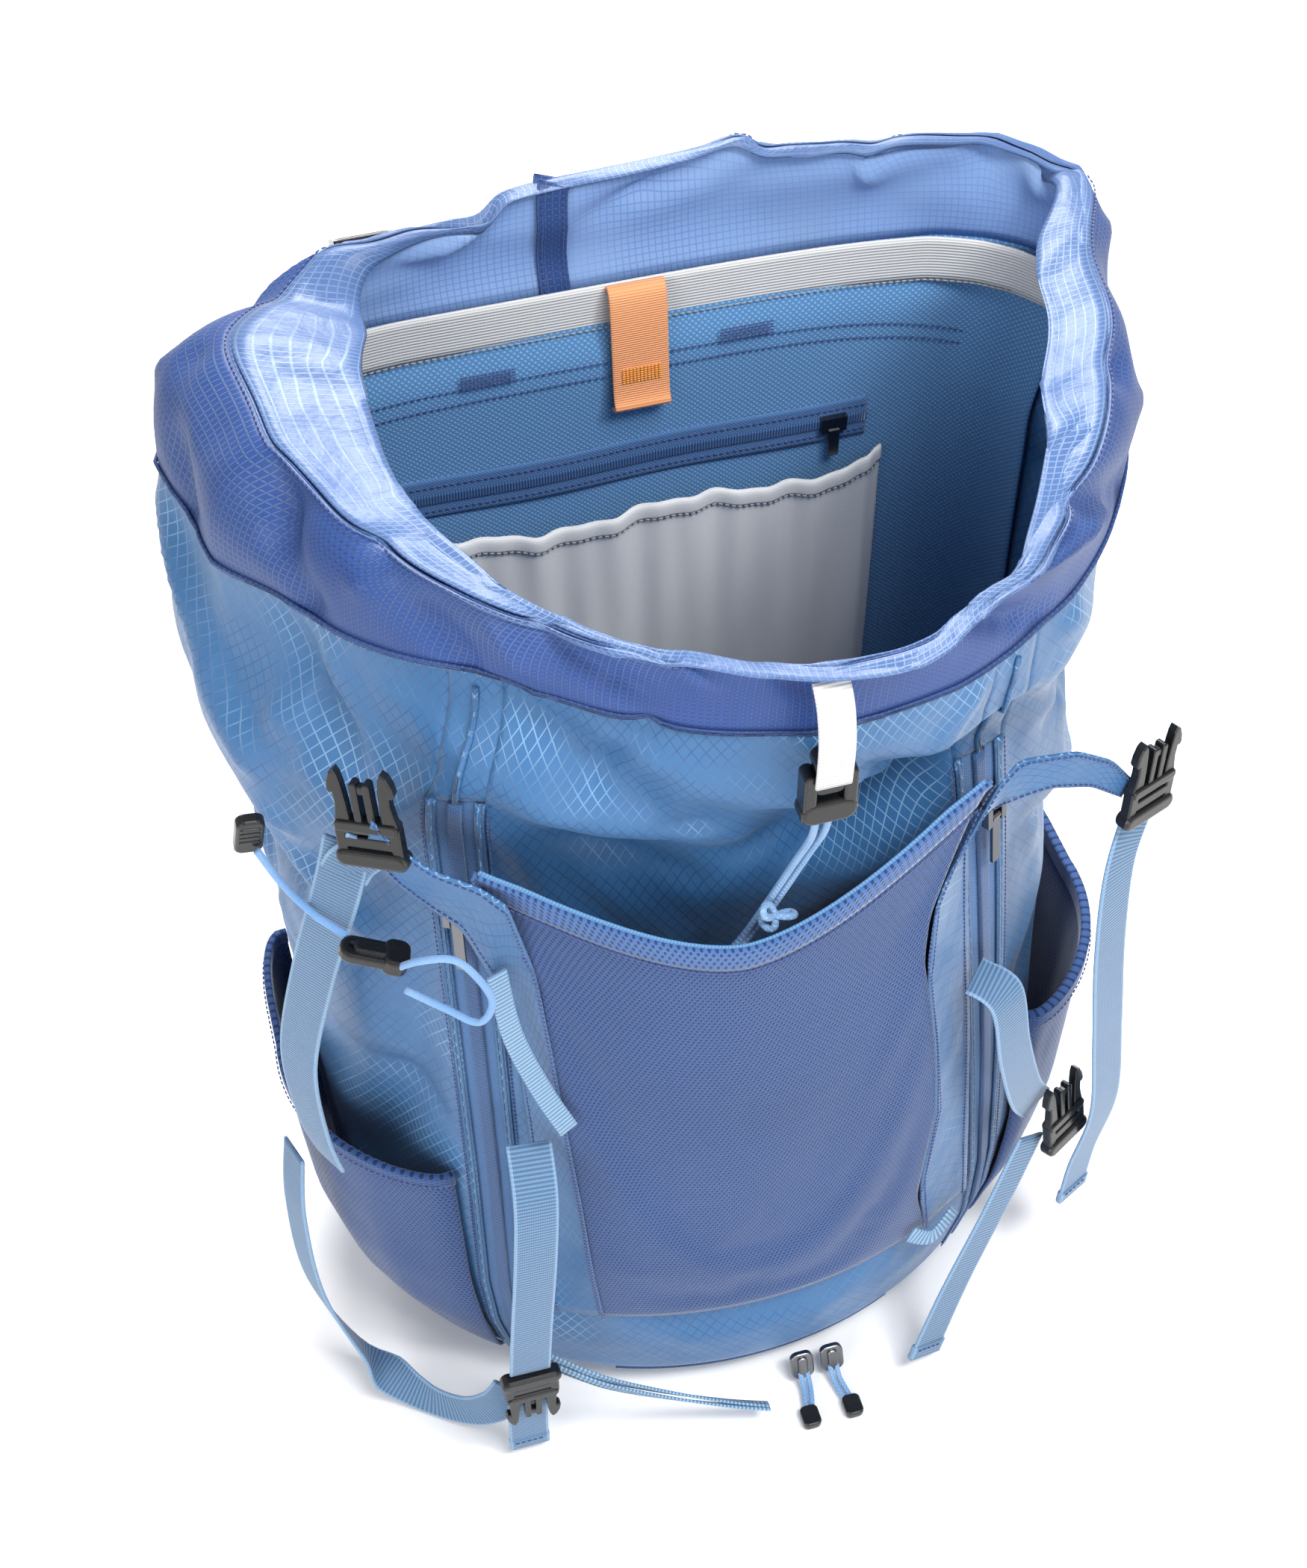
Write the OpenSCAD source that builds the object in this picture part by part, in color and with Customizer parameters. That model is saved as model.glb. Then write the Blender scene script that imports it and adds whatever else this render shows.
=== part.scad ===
// Top-loading hiking daypack with a drawcord collar, standing upright and open.
// Origin: centre of the base on the ground. +Z up, -Y is the front of the pack,
// +Y is the side that lies against the wearer's back.

/* [Main bag] */
// Half of the bag's width at the side seams
half_width = 190; // [150:1:230]
// Depth from the middle of the bag to the front panel at mid height
front_depth = 120; // [90:1:150]
// Depth from the middle of the bag to the back panel
back_depth = 112; // [90:1:140]
// Height of the seam between the bag and its collar
seam_height = 515; // [440:5:600]
// Height of the collar above the seam
collar_height = 50; // [30:5:90]
// Thickness of the bag's cloth walls
wall = 3; // [2:0.5:5]

/* [Pockets] */
// Height of the front stretch pocket's lower edge
front_pocket_low = 92; // [60:1:120]
// Height of the front stretch pocket's top edge at its middle
front_pocket_top = 398; // [300:1:420]
// How far the front stretch pocket gapes at its top
front_pocket_gape = 20; // [12:1:35]
// Height of the side pockets' top edge
side_pocket_top = 192; // [140:1:240]
// How far the side pockets stand out from the bag
side_pocket_bulge = 16; // [10:1:30]

/* [Webbing and cords] */
// Width of the compression webbing
webbing_width = 20; // [15:1:25]
// Thickness of the webbing
webbing_thick = 1.6; // [1:0.1:2.5]
// Diameter of the drawcord
drawcord_d = 3; // [2:0.1:5]
// Diameter of the elastic cord on the pole holder
elastic_d = 3; // [2:0.1:5]

/* [Harness] */
// Width of the padded shoulder straps
strap_width = 62; // [50:1:75]
// Thickness of the padded shoulder straps
strap_thick = 11; // [8:0.5:16]
// Length of each padded hip fin
fin_length = 115; // [90:1:125]
// Height of each padded hip fin
fin_height = 70; // [50:1:80]

/* [Hidden] */
$fn = 32;
gap = 0.4;                       // clearance between neighbouring cloth solids
frame_y = 102.8;                 // plane of the frame sheet and its wire
zip_half = 4;                    // half of a side zip's width, in degrees of the outline
seam_right = 18;                 // outline angles of the seams beside the back panel
seam_left = 162;
crest = seam_height + collar_height;
slider_z = 400;                  // height of the side zips' sliders, closed

// Levels of the bag walls. The zips run straight between 100 and 440.
LEVELS = [0, 6, 20, 60, 100, 180, 270, 360, 440, seam_height];
HALF_WIDTH_AT = [[0, half_width - 40], [6, half_width - 30], [20, half_width - 22],
    [60, half_width - 12], [100, half_width - 7], [440, half_width],
    [seam_height, half_width + 5], [crest, half_width - 40]];
FRONT_DEPTH_AT = [[0, front_depth - 22], [6, front_depth - 2], [20, front_depth + 14],
    [60, front_depth + 20], [100, front_depth + 19], [440, front_depth],
    [seam_height, front_depth + 18], [crest, front_depth + 38]];
BACK_DEPTH_AT = [[0, back_depth - 16], [6, back_depth - 6], [20, back_depth - 2],
    [100, back_depth], [crest, back_depth]];
// Outline angles of the side zips' middles, by height
LEFT_ZIP_AT = [[60, 228], [440, 232]];
RIGHT_ZIP_AT = [[60, 316], [440, 300]];
// Sideways lean of the standing bag, by height
LEAN_AT = [[0, 10], [200, 8], [440, 3], [crest, 0]];

// ---- Outline of the bag -------------------------------------------------------------

function power(value, exponent) = sign(value) * pow(abs(value), exponent);

// Point of the bag's outline: angle 0 is the right side, 90 the back, 270 the front.
// The front half is an ellipse and the back half is a flat-backed superellipse.
function outline(angle, z, grow = 0) =
    let (back = sin(angle) > 0,
        width = lookup(z, HALF_WIDTH_AT) + grow,
        depth = lookup(z, back ? BACK_DEPTH_AT : FRONT_DEPTH_AT) + grow,
        squareness = back ? 2 / 5 : 1)
    [lookup(z, LEAN_AT) + width * power(cos(angle), squareness),
        depth * power(sin(angle), squareness), z];

function left_zip_at(z) = lookup(z, LEFT_ZIP_AT);
function right_zip_at(z) = lookup(z, RIGHT_ZIP_AT);
function span(from, to, count) = [for (i = [0:count]) from + (to - from) * i / count];
function mix(a, b, t) = a + (b - a) * t;

// ---- Solids from point grids --------------------------------------------------------

function quad(a, b, c, d, flip) =
    flip ? [[a, c, b], [a, d, c]] : [[a, b, c], [a, c, d]];

// Closed sheet between two grids of points, each grid[row][column].
// A wrapped sheet joins its last column to its first.
module sheet(outer, inner, wrapped = false) {
    rows = len(outer);
    cols = len(outer[0]);
    count = rows * cols;
    last = wrapped ? cols - 1 : cols - 2;
    points = concat([for (row = outer) each row], [for (row = inner) each row]);
    faces = concat(
        [for (r = [0:rows - 2], c = [0:last]) let (n = (c + 1) % cols)
            each quad(r * cols + c, (r + 1) * cols + c, (r + 1) * cols + n, r * cols + n,
                false)],
        [for (r = [0:rows - 2], c = [0:last]) let (n = (c + 1) % cols)
            each quad(count + r * cols + c, count + (r + 1) * cols + c,
                count + (r + 1) * cols + n, count + r * cols + n, true)],
        [for (c = [0:last]) let (n = (c + 1) % cols)
            each quad(c, n, count + n, count + c, false)],
        [for (c = [0:last]) let (n = (c + 1) % cols, top = (rows - 1) * cols)
            each quad(top + c, top + n, count + top + n, count + top + c, true)],
        wrapped ? [] : [for (r = [0:rows - 2])
            each quad(r * cols, count + r * cols, count + (r + 1) * cols, (r + 1) * cols,
                false)],
        wrapped ? [] : [for (r = [0:rows - 2])
            each quad(r * cols + cols - 1, count + r * cols + cols - 1,
                count + (r + 1) * cols + cols - 1, (r + 1) * cols + cols - 1, true)]);
    polyhedron(points, faces);
}

// Cloth wall that follows the outline. edges is a list of [z, first angle, last angle].
module cloth_wall(edges, steps, out = 0, thick = wall) {
    outer = [for (e = edges) [for (a = span(e[1], e[2], steps)) outline(a, e[0], out)]];
    inner = [for (e = edges)
        [for (a = span(e[1], e[2], steps)) outline(a, e[0], out - thick)]];
    sheet(outer, inner);
}

// ---- Webbing and cords along hand-chosen routes -------------------------------------

function unit(v) = v / norm(v);

// Catmull-Rom curve through the route's points, with count steps between neighbours.
function curve(route, count) =
    let (last = len(route) - 1)
    [for (i = [0:last - 1], k = [0:count - 1])
        let (t = k / count, a = route[max(i - 1, 0)], b = route[i], c = route[i + 1],
            d = route[min(i + 2, last)])
        0.5 * (2 * b + (c - a) * t + (2 * a - 5 * b + 4 * c - d) * t * t
            + (3 * b - a - 3 * c + d) * t * t * t),
        route[last]];

function direction(path, i) =
    unit(path[min(i + 1, len(path) - 1)] - path[max(i - 1, 0)]);

// Solid swept along a path. section is a loop of [along the width, across the width]
// points, and across_first and across_last are the width's direction at each end.
module sweep(path, section, across_first, across_last) {
    count = len(path);
    sides = len(section);
    rings = [for (i = [0:count - 1])
        let (along = direction(path, i),
            wanted = mix(across_first, across_last, i / (count - 1)),
            across = unit(wanted - along * (wanted * along)),
            out = cross(along, across))
        [for (s = section) path[i] + across * s[0] + out * s[1]]];
    points = [for (ring = rings) each ring];
    faces = concat(
        [for (i = [0:count - 2], s = [0:sides - 1]) let (n = (s + 1) % sides)
            each quad(i * sides + s, i * sides + n, (i + 1) * sides + n,
                (i + 1) * sides + s, true)],
        [[for (s = [0:sides - 1]) s]],
        [[for (s = [sides - 1:-1:0]) (count - 1) * sides + s]]);
    polyhedron(points, faces);
}

// Outline of a flat tape, seen along its length.
function tape(width, thick) =
    [[-width / 2, -thick / 2], [width / 2, -thick / 2],
        [width / 2, thick / 2], [-width / 2, thick / 2]];

// Outline of a padded strap, with edges half as thick as its middle.
function padded(width, thick) =
    [[-width / 2, -thick / 4], [-width / 3, -thick / 2], [width / 3, -thick / 2],
        [width / 2, -thick / 4], [width / 2, thick / 4], [width / 3, thick / 2],
        [-width / 3, thick / 2], [-width / 2, thick / 4]];

function round_section(d) = [for (i = [0:7]) d / 2 * [cos(i * 45), sin(i * 45)]];

module webbing(route, across, last = undef, width = webbing_width, steps = 3) {
    sweep(curve(route, steps), tape(width, webbing_thick), across,
        is_undef(last) ? across : last);
}

module cord(route, d, steps = 3) {
    sweep(curve(route, steps), round_section(d), [1, 0.3, 0.2], [1, 0.3, 0.2]);
}

// ---- Routes -------------------------------------------------------------------------

STRAP_ROUTE = [[44, 120, 436], [46, 132, 476], [54, 154, 486], [64, 172, 462],
    [68, 178, 430], [68, 178, 330], [76, 172, 290], [90, 158, 240], [106, 144, 204]];
LIFTER_ROUTE = [[104, 117, 500], [98, 126, 530], [92, 136, 536], [82, 158, 512],
    [74, 180, 480]];
STRAP_WEBBING_ROUTE = [[122, 129, 166], [133, 121, 143], [145, 112, 120]];
DRAWCORD_ROUTE = [[12, -159, 484], [14, -150, 462], [12, -139, 434], [6, -133, 408],
    [-4, -132, 386], [-14, -133, 374], [-26, -133, 368], [-34, -134, 366]];
UPPER_LEFT_ROUTE = [[-156, -100, 456], [-163, -98, 425], [-176, -88, 365],
    [-188, -76, 290], [-187, -73, 230], [-182, -76, 203]];
UPPER_RIGHT_ROUTE = [[174, -111, 382], [164, -122, 355], [166, -126, 300],
    [176, -124, 230], [186, -120, 160], [186, -112, 100], [186, -110, 62]];
LOWER_LEFT_ROUTE = [[-100, -128, 262], [-102, -146, 244], [-105, -151, 200],
    [-109, -151, 140], [-111, -149, 96]];
LOWER_LEFT_TAIL = [[-112, -144.4, 66], [-113, -144, 34], [-113, -143, 8]];
LEFT_LOOP_ROUTE = [[-197, -44, 170], [-202, -52, 130], [-200, -62, 70],
    [-182, -82, 26], [-160, -104, 12], [-140, -122, 18], [-126, -132, 36], [-118, -135, 56]];
LOWER_RIGHT_ROUTE = [[104, -122, 300], [116, -132, 292], [124, -134, 250],
    [138, -126, 200], [157, -106, 152]];
LOWER_RIGHT_TAIL = [[150, -120, 146], [132, -132, 110], [110, -144, 60], [94, -153, 12]];
ELASTIC_ROUTE = [[-189, -78, 436], [-182, -84, 420], [-172, -96, 411], [-162, -106, 407]];
ELASTIC_LOOP_ROUTE = [[-146, -120, 398], [-138, -128, 410], [-126, -132, 412],
    [-118, -134, 402], [-112, -136, 384], [-118, -136, 372], [-130, -130, 378],
    [-144, -124, 388]];
AXE_LOOP_ROUTE = [[-98, -136, 74], [-74, -148, 62], [-44, -152, 40], [-14, -156, 22],
    [8, -160, 14]];
DAISY_ROUTE = [[-108, -128, 390], [-104, -131, 350], [-94, -134, 310], [-84, -137, 280]];
RIGHT_LOOP_ROUTE = [[86, -134, 105], [98, -134, 98], [112, -126, 104]];
HAUL_ROUTE = [[-26, 120.5, 496], [-26, 126, 516], [-14, 131, 528], [14, 131, 528],
    [26, 126, 516], [26, 120.5, 496]];

// ---- Bag ----------------------------------------------------------------------------

module front_panel() {
    color("cornflowerblue")
    cloth_wall([for (z = LEVELS) [z, left_zip_at(z) + zip_half + 0.2,
        right_zip_at(z) - zip_half - 0.2]], 14);
}

module left_panel() {
    color("cornflowerblue")
    cloth_wall([for (z = LEVELS) [z, seam_left + 0.2,
        left_zip_at(z) - zip_half - 0.2]], 10);
}

module right_panel() {
    color("cornflowerblue")
    cloth_wall([for (z = LEVELS) [z, right_zip_at(z) + zip_half + 0.2,
        360 + seam_right - 0.2]], 10);
}

module back_panel() {
    color("steelblue")
    cloth_wall([for (z = LEVELS) [z, seam_right + 0.2, seam_left - 0.2]], 12);
}

module base_panel() {
    inset = wall + gap;
    color("steelblue")
    sheet([for (z = [0, 4]) [for (a = [0:12:348]) outline(a, z, -inset)]],
        [for (z = [0, 4]) [for (a = [0:12:348]) outline(a, z, -60)]], true);
    color("steelblue")
    linear_extrude(height = 4)
        polygon([for (a = [0:12:348]) let (p = outline(a, 0, -60 - gap)) [p[0], p[1]]]);
}

// The collar leans in at the sides and out at the front, up to its drawcord hem.
module collar() {
    levels = span(seam_height + gap, crest, 3);
    angles = [0:9:351];
    color("slateblue")
    sheet([for (z = levels) [for (a = angles) outline(a, z)]],
        [for (z = levels) [for (a = angles) outline(a, z, -2)]], true);
}

module hem_cord() {
    path = [for (a = [-84:6:264]) outline(a, crest - 12, -4 - drawcord_d)];
    color("lightskyblue")
    sweep(path, round_section(drawcord_d), [0, 0, 1], [0, 0, 1]);
}

module left_zip() {
    color("royalblue")
    cloth_wall([for (z = LEVELS) [z, left_zip_at(z) - zip_half,
        left_zip_at(z) + zip_half]], 2);
}

module right_zip() {
    color("royalblue")
    cloth_wall([for (z = LEVELS) [z, right_zip_at(z) - zip_half,
        right_zip_at(z) + zip_half]], 2);
}

// The base zip runs straight along X, low on the front, tilted under the bag.
module base_zip() {
    color("royalblue")
    translate([10, -front_depth - 17.5, 12]) rotate([-25, 0, 0])
        cube([140, 1.6, 14], true);
}

// ---- Pockets ------------------------------------------------------------------------

// How far the front pocket stands off the bag at a height.
function pocket_stand(z) = lookup(z, [[front_pocket_low, 0.4], [140, 6],
    [front_pocket_top, front_pocket_gape], [460, front_pocket_gape + 4]]);

// The pocket's top edge sags in the middle and rises to the corners of the wings.
function pocket_top(t) = front_pocket_top + 54 * pow(abs(2 * t - 1), 1.6);

module front_pocket() {
    thick = 2;
    ts = span(0, 1, 12);
    function at(s, t, out) = let (z = mix(front_pocket_low, pocket_top(t), s))
        outline(mix(243, lookup(z, [[92, 300], [440, 296]]), t), z,
            pocket_stand(z) + out);
    color("midnightblue")
    sheet([for (s = [0, 0.15, 0.4, 0.7, 1]) [for (t = ts) at(s, t, thick)]],
        [for (s = [0, 0.15, 0.4, 0.7, 1]) [for (t = ts) at(s, t, 0)]]);
}

// Cloth wing between the front pocket and a side zip. It closes the pocket's side and
// runs on at the top to a buckle. The edges are lists of [z, outline angle].
module wing(pocket_edge, zip_edge, tip) {
    levels = [front_pocket_low, 140, 250, 398, 450];
    side = lookup(0, pocket_edge) < lookup(0, zip_edge) ? 1 : -1;
    ts = side > 0 ? [0, 0.5, 1] : [1, 0.5, 0];
    function at(z, t, out) =
        outline(mix(lookup(z, pocket_edge), lookup(z, zip_edge), t), z,
            mix(pocket_stand(z), gap, t) + out);
    color("cornflowerblue")
    union() {
        sheet([for (z = levels) [for (t = ts) at(z, t, 2)]],
            [for (z = levels) [for (t = ts) at(z, t, 0)]]);
        hull() {
            for (z = [420, 446]) translate(at(z, 0, 1) + [side * 3.4, 0, 0])
                cube([6, 2, 6], true);
            translate(tip) cube([6, 2, 16], true);
        }
    }
}

module left_wing() {
    wing([[92, 242.6]], [[92, 236.6]], [-148, -107, 444]);
}

module right_wing() {
    wing([[92, 300.6], [440, 296.6]], [[92, 310], [250, 303.6], [398, 298.8], [450, 298]],
        [166, -113, 396]);
}

// Stretch side pocket between two outline angles, open at the top.
module side_pocket(first, last) {
    levels = [14, 20, 60, 100, side_pocket_top];
    function at(z, t, out) = outline(mix(first, last, t), z,
        3 * gap + out + lookup(z, [[14, 0], [60, 0.6], [100, 0.8], [side_pocket_top, 1]])
            * side_pocket_bulge * pow(sin(180 * t), 0.5));
    color("midnightblue")
    sheet([for (z = levels) [for (t = span(0, 1, 20)) at(z, t, 2)]],
        [for (z = levels) [for (t = span(0, 1, 20)) at(z, t, 0)]]);
}

module left_side_pocket() {
    side_pocket(166, 223);
}

module right_side_pocket() {
    side_pocket(322, 374);
}

// ---- Inside -------------------------------------------------------------------------

module rounded_plate(width, height, thick, radius) {
    rotate([90, 0, 0]) linear_extrude(height = thick, center = true)
    hull() for (x = [-1, 1], z = [-1, 1])
        translate([x * (width / 2 - radius), z * (height / 2 - radius)]) circle(radius);
}

module frame_sheet() {
    color("black")
    translate([0, frame_y, 265]) rounded_plate(196, 430, 1.2, 20);
}

// Bent spring-steel wire around the frame sheet, an arch open at the bottom.
module frame_wire() {
    wire = 4;
    half = 106;
    bend = 30;
    top = 490;
    color("silver")
    translate([0, frame_y, 0]) {
        for (x = [-half, half]) translate([x, 0, 46]) cylinder(h = top - bend - 46, d = wire);
        translate([-half + bend, 0, top]) rotate([0, 90, 0])
            cylinder(h = 2 * (half - bend), d = wire);
        for (side = [0, 1]) mirror([side, 0, 0])
            translate([half - bend, 0, top - bend]) rotate([90, 0, 0])
            rotate_extrude(angle = 90) translate([bend, 0]) circle(d = wire);
    }
}

module inner_back_panel() {
    color("steelblue")
    translate([0, 98.6, 268]) rounded_plate(256, 456, 2, 24);
}

// Water-bladder sleeve, open at the top.
module hydration_sleeve() {
    color("gainsboro")
    difference() {
        translate([-128, 82.7, 60]) cube([256, 14.5, 355]);
        translate([-126, 84.7, 62]) cube([252, 14, 360]);
    }
}

module inner_zip() {
    color("royalblue")
    translate([-120, 95.8, 424]) cube([240, 1.4, 22]);
}

module inner_zip_slider() {
    color("black")
    translate([104, 94, 435]) {
        cube([12, 3, 8], true);
        translate([0, -1.4, -10]) cube([5, 1.4, 15], true);
    }
}

// Tape over the seam inside the mouth, taller along the back.
module mouth_binding() {
    color("lightgrey") {
        cloth_wall([for (z = [500, 522]) [z, seam_right + 6, seam_left - 6]], 12,
            -wall - gap, 1.6);
        cloth_wall([for (z = [498, 516]) [z, 200, 340]], 14, -wall - gap - 1, 1.6);
    }
}

// Folded tape tab sewn over the middle of the back binding.
module name_tab() {
    color("orange")
    webbing([[14, 104.5, 524], [14, 101, 529], [14, 96, 522], [14, 92, 480], [14, 89, 472],
        [14, 94.6, 468]], [1, 0, 0], width = 25, steps = 2);
}

// ---- Harness ------------------------------------------------------------------------

// Two foam pads with an air channel between them.
module back_pads() {
    color("midnightblue")
    for (x = [-63, 63]) translate([x, 116.4, 252]) rounded_plate(74, 340, 7.6, 16);
}

module haul_loop() {
    color("steelblue")
    webbing(HAUL_ROUTE, [0, 1, 0.4], width = 15);
}

module shoulder_strap() {
    color("midnightblue")
    sweep(curve(STRAP_ROUTE, 3), padded(strap_width, strap_thick), [1, 0, 0], [1, 0, 0]);
}

module shoulder_strap_left() {
    mirror([1, 0, 0]) shoulder_strap();
}

module shoulder_strap_right() {
    shoulder_strap();
}

// Load lifters from the top of the frame to the shoulder straps, and the webbing from
// the straps' lower ends to the bag's lower corners.
module harness_webbing() {
    color("steelblue")
    for (side = [0, 1]) mirror([side, 0, 0]) {
        webbing(LIFTER_ROUTE, [1, 0, 0]);
        webbing(STRAP_WEBBING_ROUTE, [1, -0.4, 0]);
    }
}

// Frame with three bars that grips webbing.
module ladder_lock(width = 26, height = 20) {
    linear_extrude(height = 4, center = true) difference() {
        square([width, height], true);
        for (y = [-1, 1]) translate([0, y * height / 4]) square([width - 5, 4], true);
    }
}

// Four ladder locks: two on the load lifters and two on the lower strap webbing.
module ladder_locks() {
    color("black")
    for (side = [0, 1]) mirror([side, 0, 0]) {
        translate([92, 141, 544]) rotate([-35, 0, 0]) ladder_lock();
        translate([115, 136, 183]) rotate([68, 0, 0]) ladder_lock();
    }
}

// Clips and webbing of the chest strap.
module sternum_strap() {
    color("steelblue")
    for (side = [0, 1]) mirror([side, 0, 0]) {
        translate([62, 186.5, 380]) cube([18, 4, 24], true);
        translate([36, 186.5, 380]) cube([34, webbing_thick, 15], true);
    }
}

module sternum_buckle() {
    color("black")
    for (x = [-9.5, 9.5]) translate([x, 186.5, 380]) cube([18.6, 7, 22], true);
}

// Sewn plates that hold the hip fins to the back panel.
module belt_anchors() {
    color("steelblue")
    for (x = [-124, 124]) translate([x, 115.2, 75]) cube([24, 5, fin_height], true);
}

// Hip fin that points inwards at rest, turned about its root.
module hip_fin() {
    color("midnightblue")
    translate([124, 124, 75]) {
        cylinder(h = fin_height, d = 10, center = true);
        rotate([0, 0, 150]) translate([fin_length / 2, 0, 0])
            rounded_plate(fin_length, fin_height, 9, 18);
    }
}

module hip_fin_left() {
    mirror([1, 0, 0]) hip_fin();
}

module hip_fin_right() {
    hip_fin();
}

module hip_webbing_left() {
    color("steelblue")
    webbing([[-22, 188, 75], [-19, 188, 64], [-18, 187, 48]], [1, 0, 0], width = 25);
}

module hip_webbing_right() {
    color("steelblue")
    webbing([[22, 188, 75], [19, 188, 64], [18, 187, 50]], [1, 0, 0], width = 25);
}

module hip_buckle_female() {
    color("black")
    translate([-18, 187, 32]) difference() {
        cube([34, 10, 31], true);
        translate([0, 0, -8]) cube([27, 5, 24], true);
    }
}

module hip_buckle_male() {
    color("black")
    translate([18, 187, 40]) {
        cube([34, 7, 18], true);
        translate([0, 0, -18]) cube([6, 4, 20], true);
        for (x = [-11, 11]) translate([x, 0, -20]) cube([4, 5, 24], true);
    }
}

// ---- Zip sliders --------------------------------------------------------------------

// A side zip's slider stands at slider_z, clear of the tape all the way down.
module at_left_zip() {
    translate(outline(left_zip_at(slider_z), slider_z, 3.2)) rotate([-1.2, -1, -28])
        children();
}

module at_right_zip() {
    translate(outline(right_zip_at(slider_z), slider_z, 3.2)) rotate([-2.3, -6, 28])
        children();
}

// Slider body with its back on the plane y = 0 and a pin through its bridge.
module zip_slider() {
    difference() {
        translate([0, -3, 0]) cube([11, 6, 16], true);
        translate([0, -6, -3]) cube([5.4, 6.4, 12], true);
    }
    translate([0, -4.6, -4]) rotate([0, 90, 0]) cylinder(h = 6, d = 1.4, center = true);
}

// Pull that hangs from the slider's pin and turns about it.
module zip_pull() {
    difference() {
        union() {
            translate([0, -4.6, -4]) rotate([0, 90, 0]) cylinder(h = 4.4, d = 3, center = true);
            translate([0, -4.6, -20]) cube([4.4, 1.6, 30], true);
        }
        translate([0, -4.6, -4]) rotate([0, 90, 0]) cylinder(h = 8, d = 1.6, center = true);
    }
}

module left_zip_slider() {
    color("black") at_left_zip() zip_slider();
}

module left_zip_pull() {
    color("black") at_left_zip() zip_pull();
}

module right_zip_slider() {
    color("black") at_right_zip() zip_slider();
}

module right_zip_pull() {
    color("black") at_right_zip() zip_pull();
}

// Base zip slider with its pull lying forwards on the ground.
module base_zip_slider() {
    translate([0, -front_depth - 21, 11]) {
        rotate([-25, 0, 0]) cube([11, 3.4, 14], true);
        translate([0, -16, -6.5]) cube([4, 30, 4], true);
    }
}

module base_zip_slider_left() {
    color("black") translate([32, 0, 0]) base_zip_slider();
}

module base_zip_slider_right() {
    color("black") translate([48, 0, 0]) base_zip_slider();
}

// ---- Compression straps and their buckles --------------------------------------------

// Half of a side-release buckle: a webbing frame with a guide and two sprung arms.
module buckle_half() {
    linear_extrude(height = 5, center = true) {
        difference() {
            translate([0, -9]) square([25, 18], true);
            for (y = [-13.5, -6.5]) translate([0, y]) square([20, 3], true);
        }
        translate([0, 10]) square([5, 20], true);
        for (x = [-9.5, 9.5]) translate([x, 11]) square([4, 22], true);
        for (x = [-1, 1]) translate([x * 11, 16]) square([3, 8], true);
    }
}

module upper_left_buckle() {
    color("black")
    translate([-148, -106, 473]) rotate([80, -8, -32]) buckle_half();
}

module upper_right_buckle() {
    color("black")
    translate([173, -116, 404]) rotate([85, 6, 24]) buckle_half();
}

module lower_left_buckle() {
    color("black")
    translate([-111, -149, 72]) rotate([-90, 0, 0]) buckle_half();
}

module lower_right_buckle() {
    color("black")
    translate([166, -118, 158]) rotate([80, 0, 30]) buckle_half();
}

module upper_left_strap() {
    color("steelblue") webbing(UPPER_LEFT_ROUTE, [1, -0.6, 0], [0.5, -1, 0]);
}

module upper_right_strap() {
    color("steelblue") webbing(UPPER_RIGHT_ROUTE, [1, 0.5, 0], [1, 0.5, 0]);
}

module lower_left_strap() {
    color("steelblue") {
        webbing(LOWER_LEFT_ROUTE, [1, 0, 0]);
        webbing(LOWER_LEFT_TAIL, [1, 0, 0]);
    }
}

module left_loop_strap() {
    color("steelblue") webbing(LEFT_LOOP_ROUTE, [0.3, -1, 0.2], [0.3, -0.2, -1]);
}

module lower_right_strap() {
    color("steelblue") {
        webbing(LOWER_RIGHT_ROUTE, [1, 0.5, 0], [1, 0.5, 0.2]);
        webbing(LOWER_RIGHT_TAIL, [1, 0.5, 0.2], [1, 0.3, 0]);
    }
}

// ---- Drawcord and elastic holder -----------------------------------------------------

module cord_lock_body() {
    color("black")
    translate([13, -159, 499]) difference() {
        cube([19, 9, 24], true);
        translate([0, 0, 5]) cube([11, 10, 18], true);
    }
}

module cord_lock_button() {
    color("black")
    translate([13, -159, 509]) cube([10.4, 7, 15], true);
}

// Light tape that ties the cord lock to the collar's hem.
module cord_lock_tab() {
    color("lightgrey")
    webbing([[13, -154, 553], [13, -161, 545], [13, -165, 530], [13, -164.6, 508]],
        [1, 0, 0], width = 14);
}

module drawcord() {
    color("lightskyblue")
    for (side = [-1, 1]) cord([for (p = DRAWCORD_ROUTE) p + [side * 2.6, 0, side * 1.4]],
        drawcord_d);
}

// Elastic for a walking pole's shaft: a free run and a loop through the wing's eyelets.
module elastic_cord() {
    color("lightskyblue") {
        cord(ELASTIC_ROUTE, elastic_d);
        cord(ELASTIC_LOOP_ROUTE, elastic_d);
    }
}

// Hook that tightens the elastic, and the grip on the elastic's end.
module elastic_hook() {
    color("black") {
        translate([-154, -113, 403]) rotate([0, 20, 30]) cube([24, 9, 8], true);
        translate([-190.5, -75, 445]) rotate([10, 8, 0]) cube([9, 5, 17], true);
    }
}

// Narrow tape loops: axe loop, gear strip and the small loop on the right.
module webbing_loops() {
    color("lightsteelblue") {
        webbing(AXE_LOOP_ROUTE, [0.3, 0.2, 1], [0.5, -1, 0.3], 9);
        webbing(DAISY_ROUTE, [1, 0.3, 0], width = 9);
        webbing(RIGHT_LOOP_ROUTE, [0, 0.2, 1], width = 9);
    }
}

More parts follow.
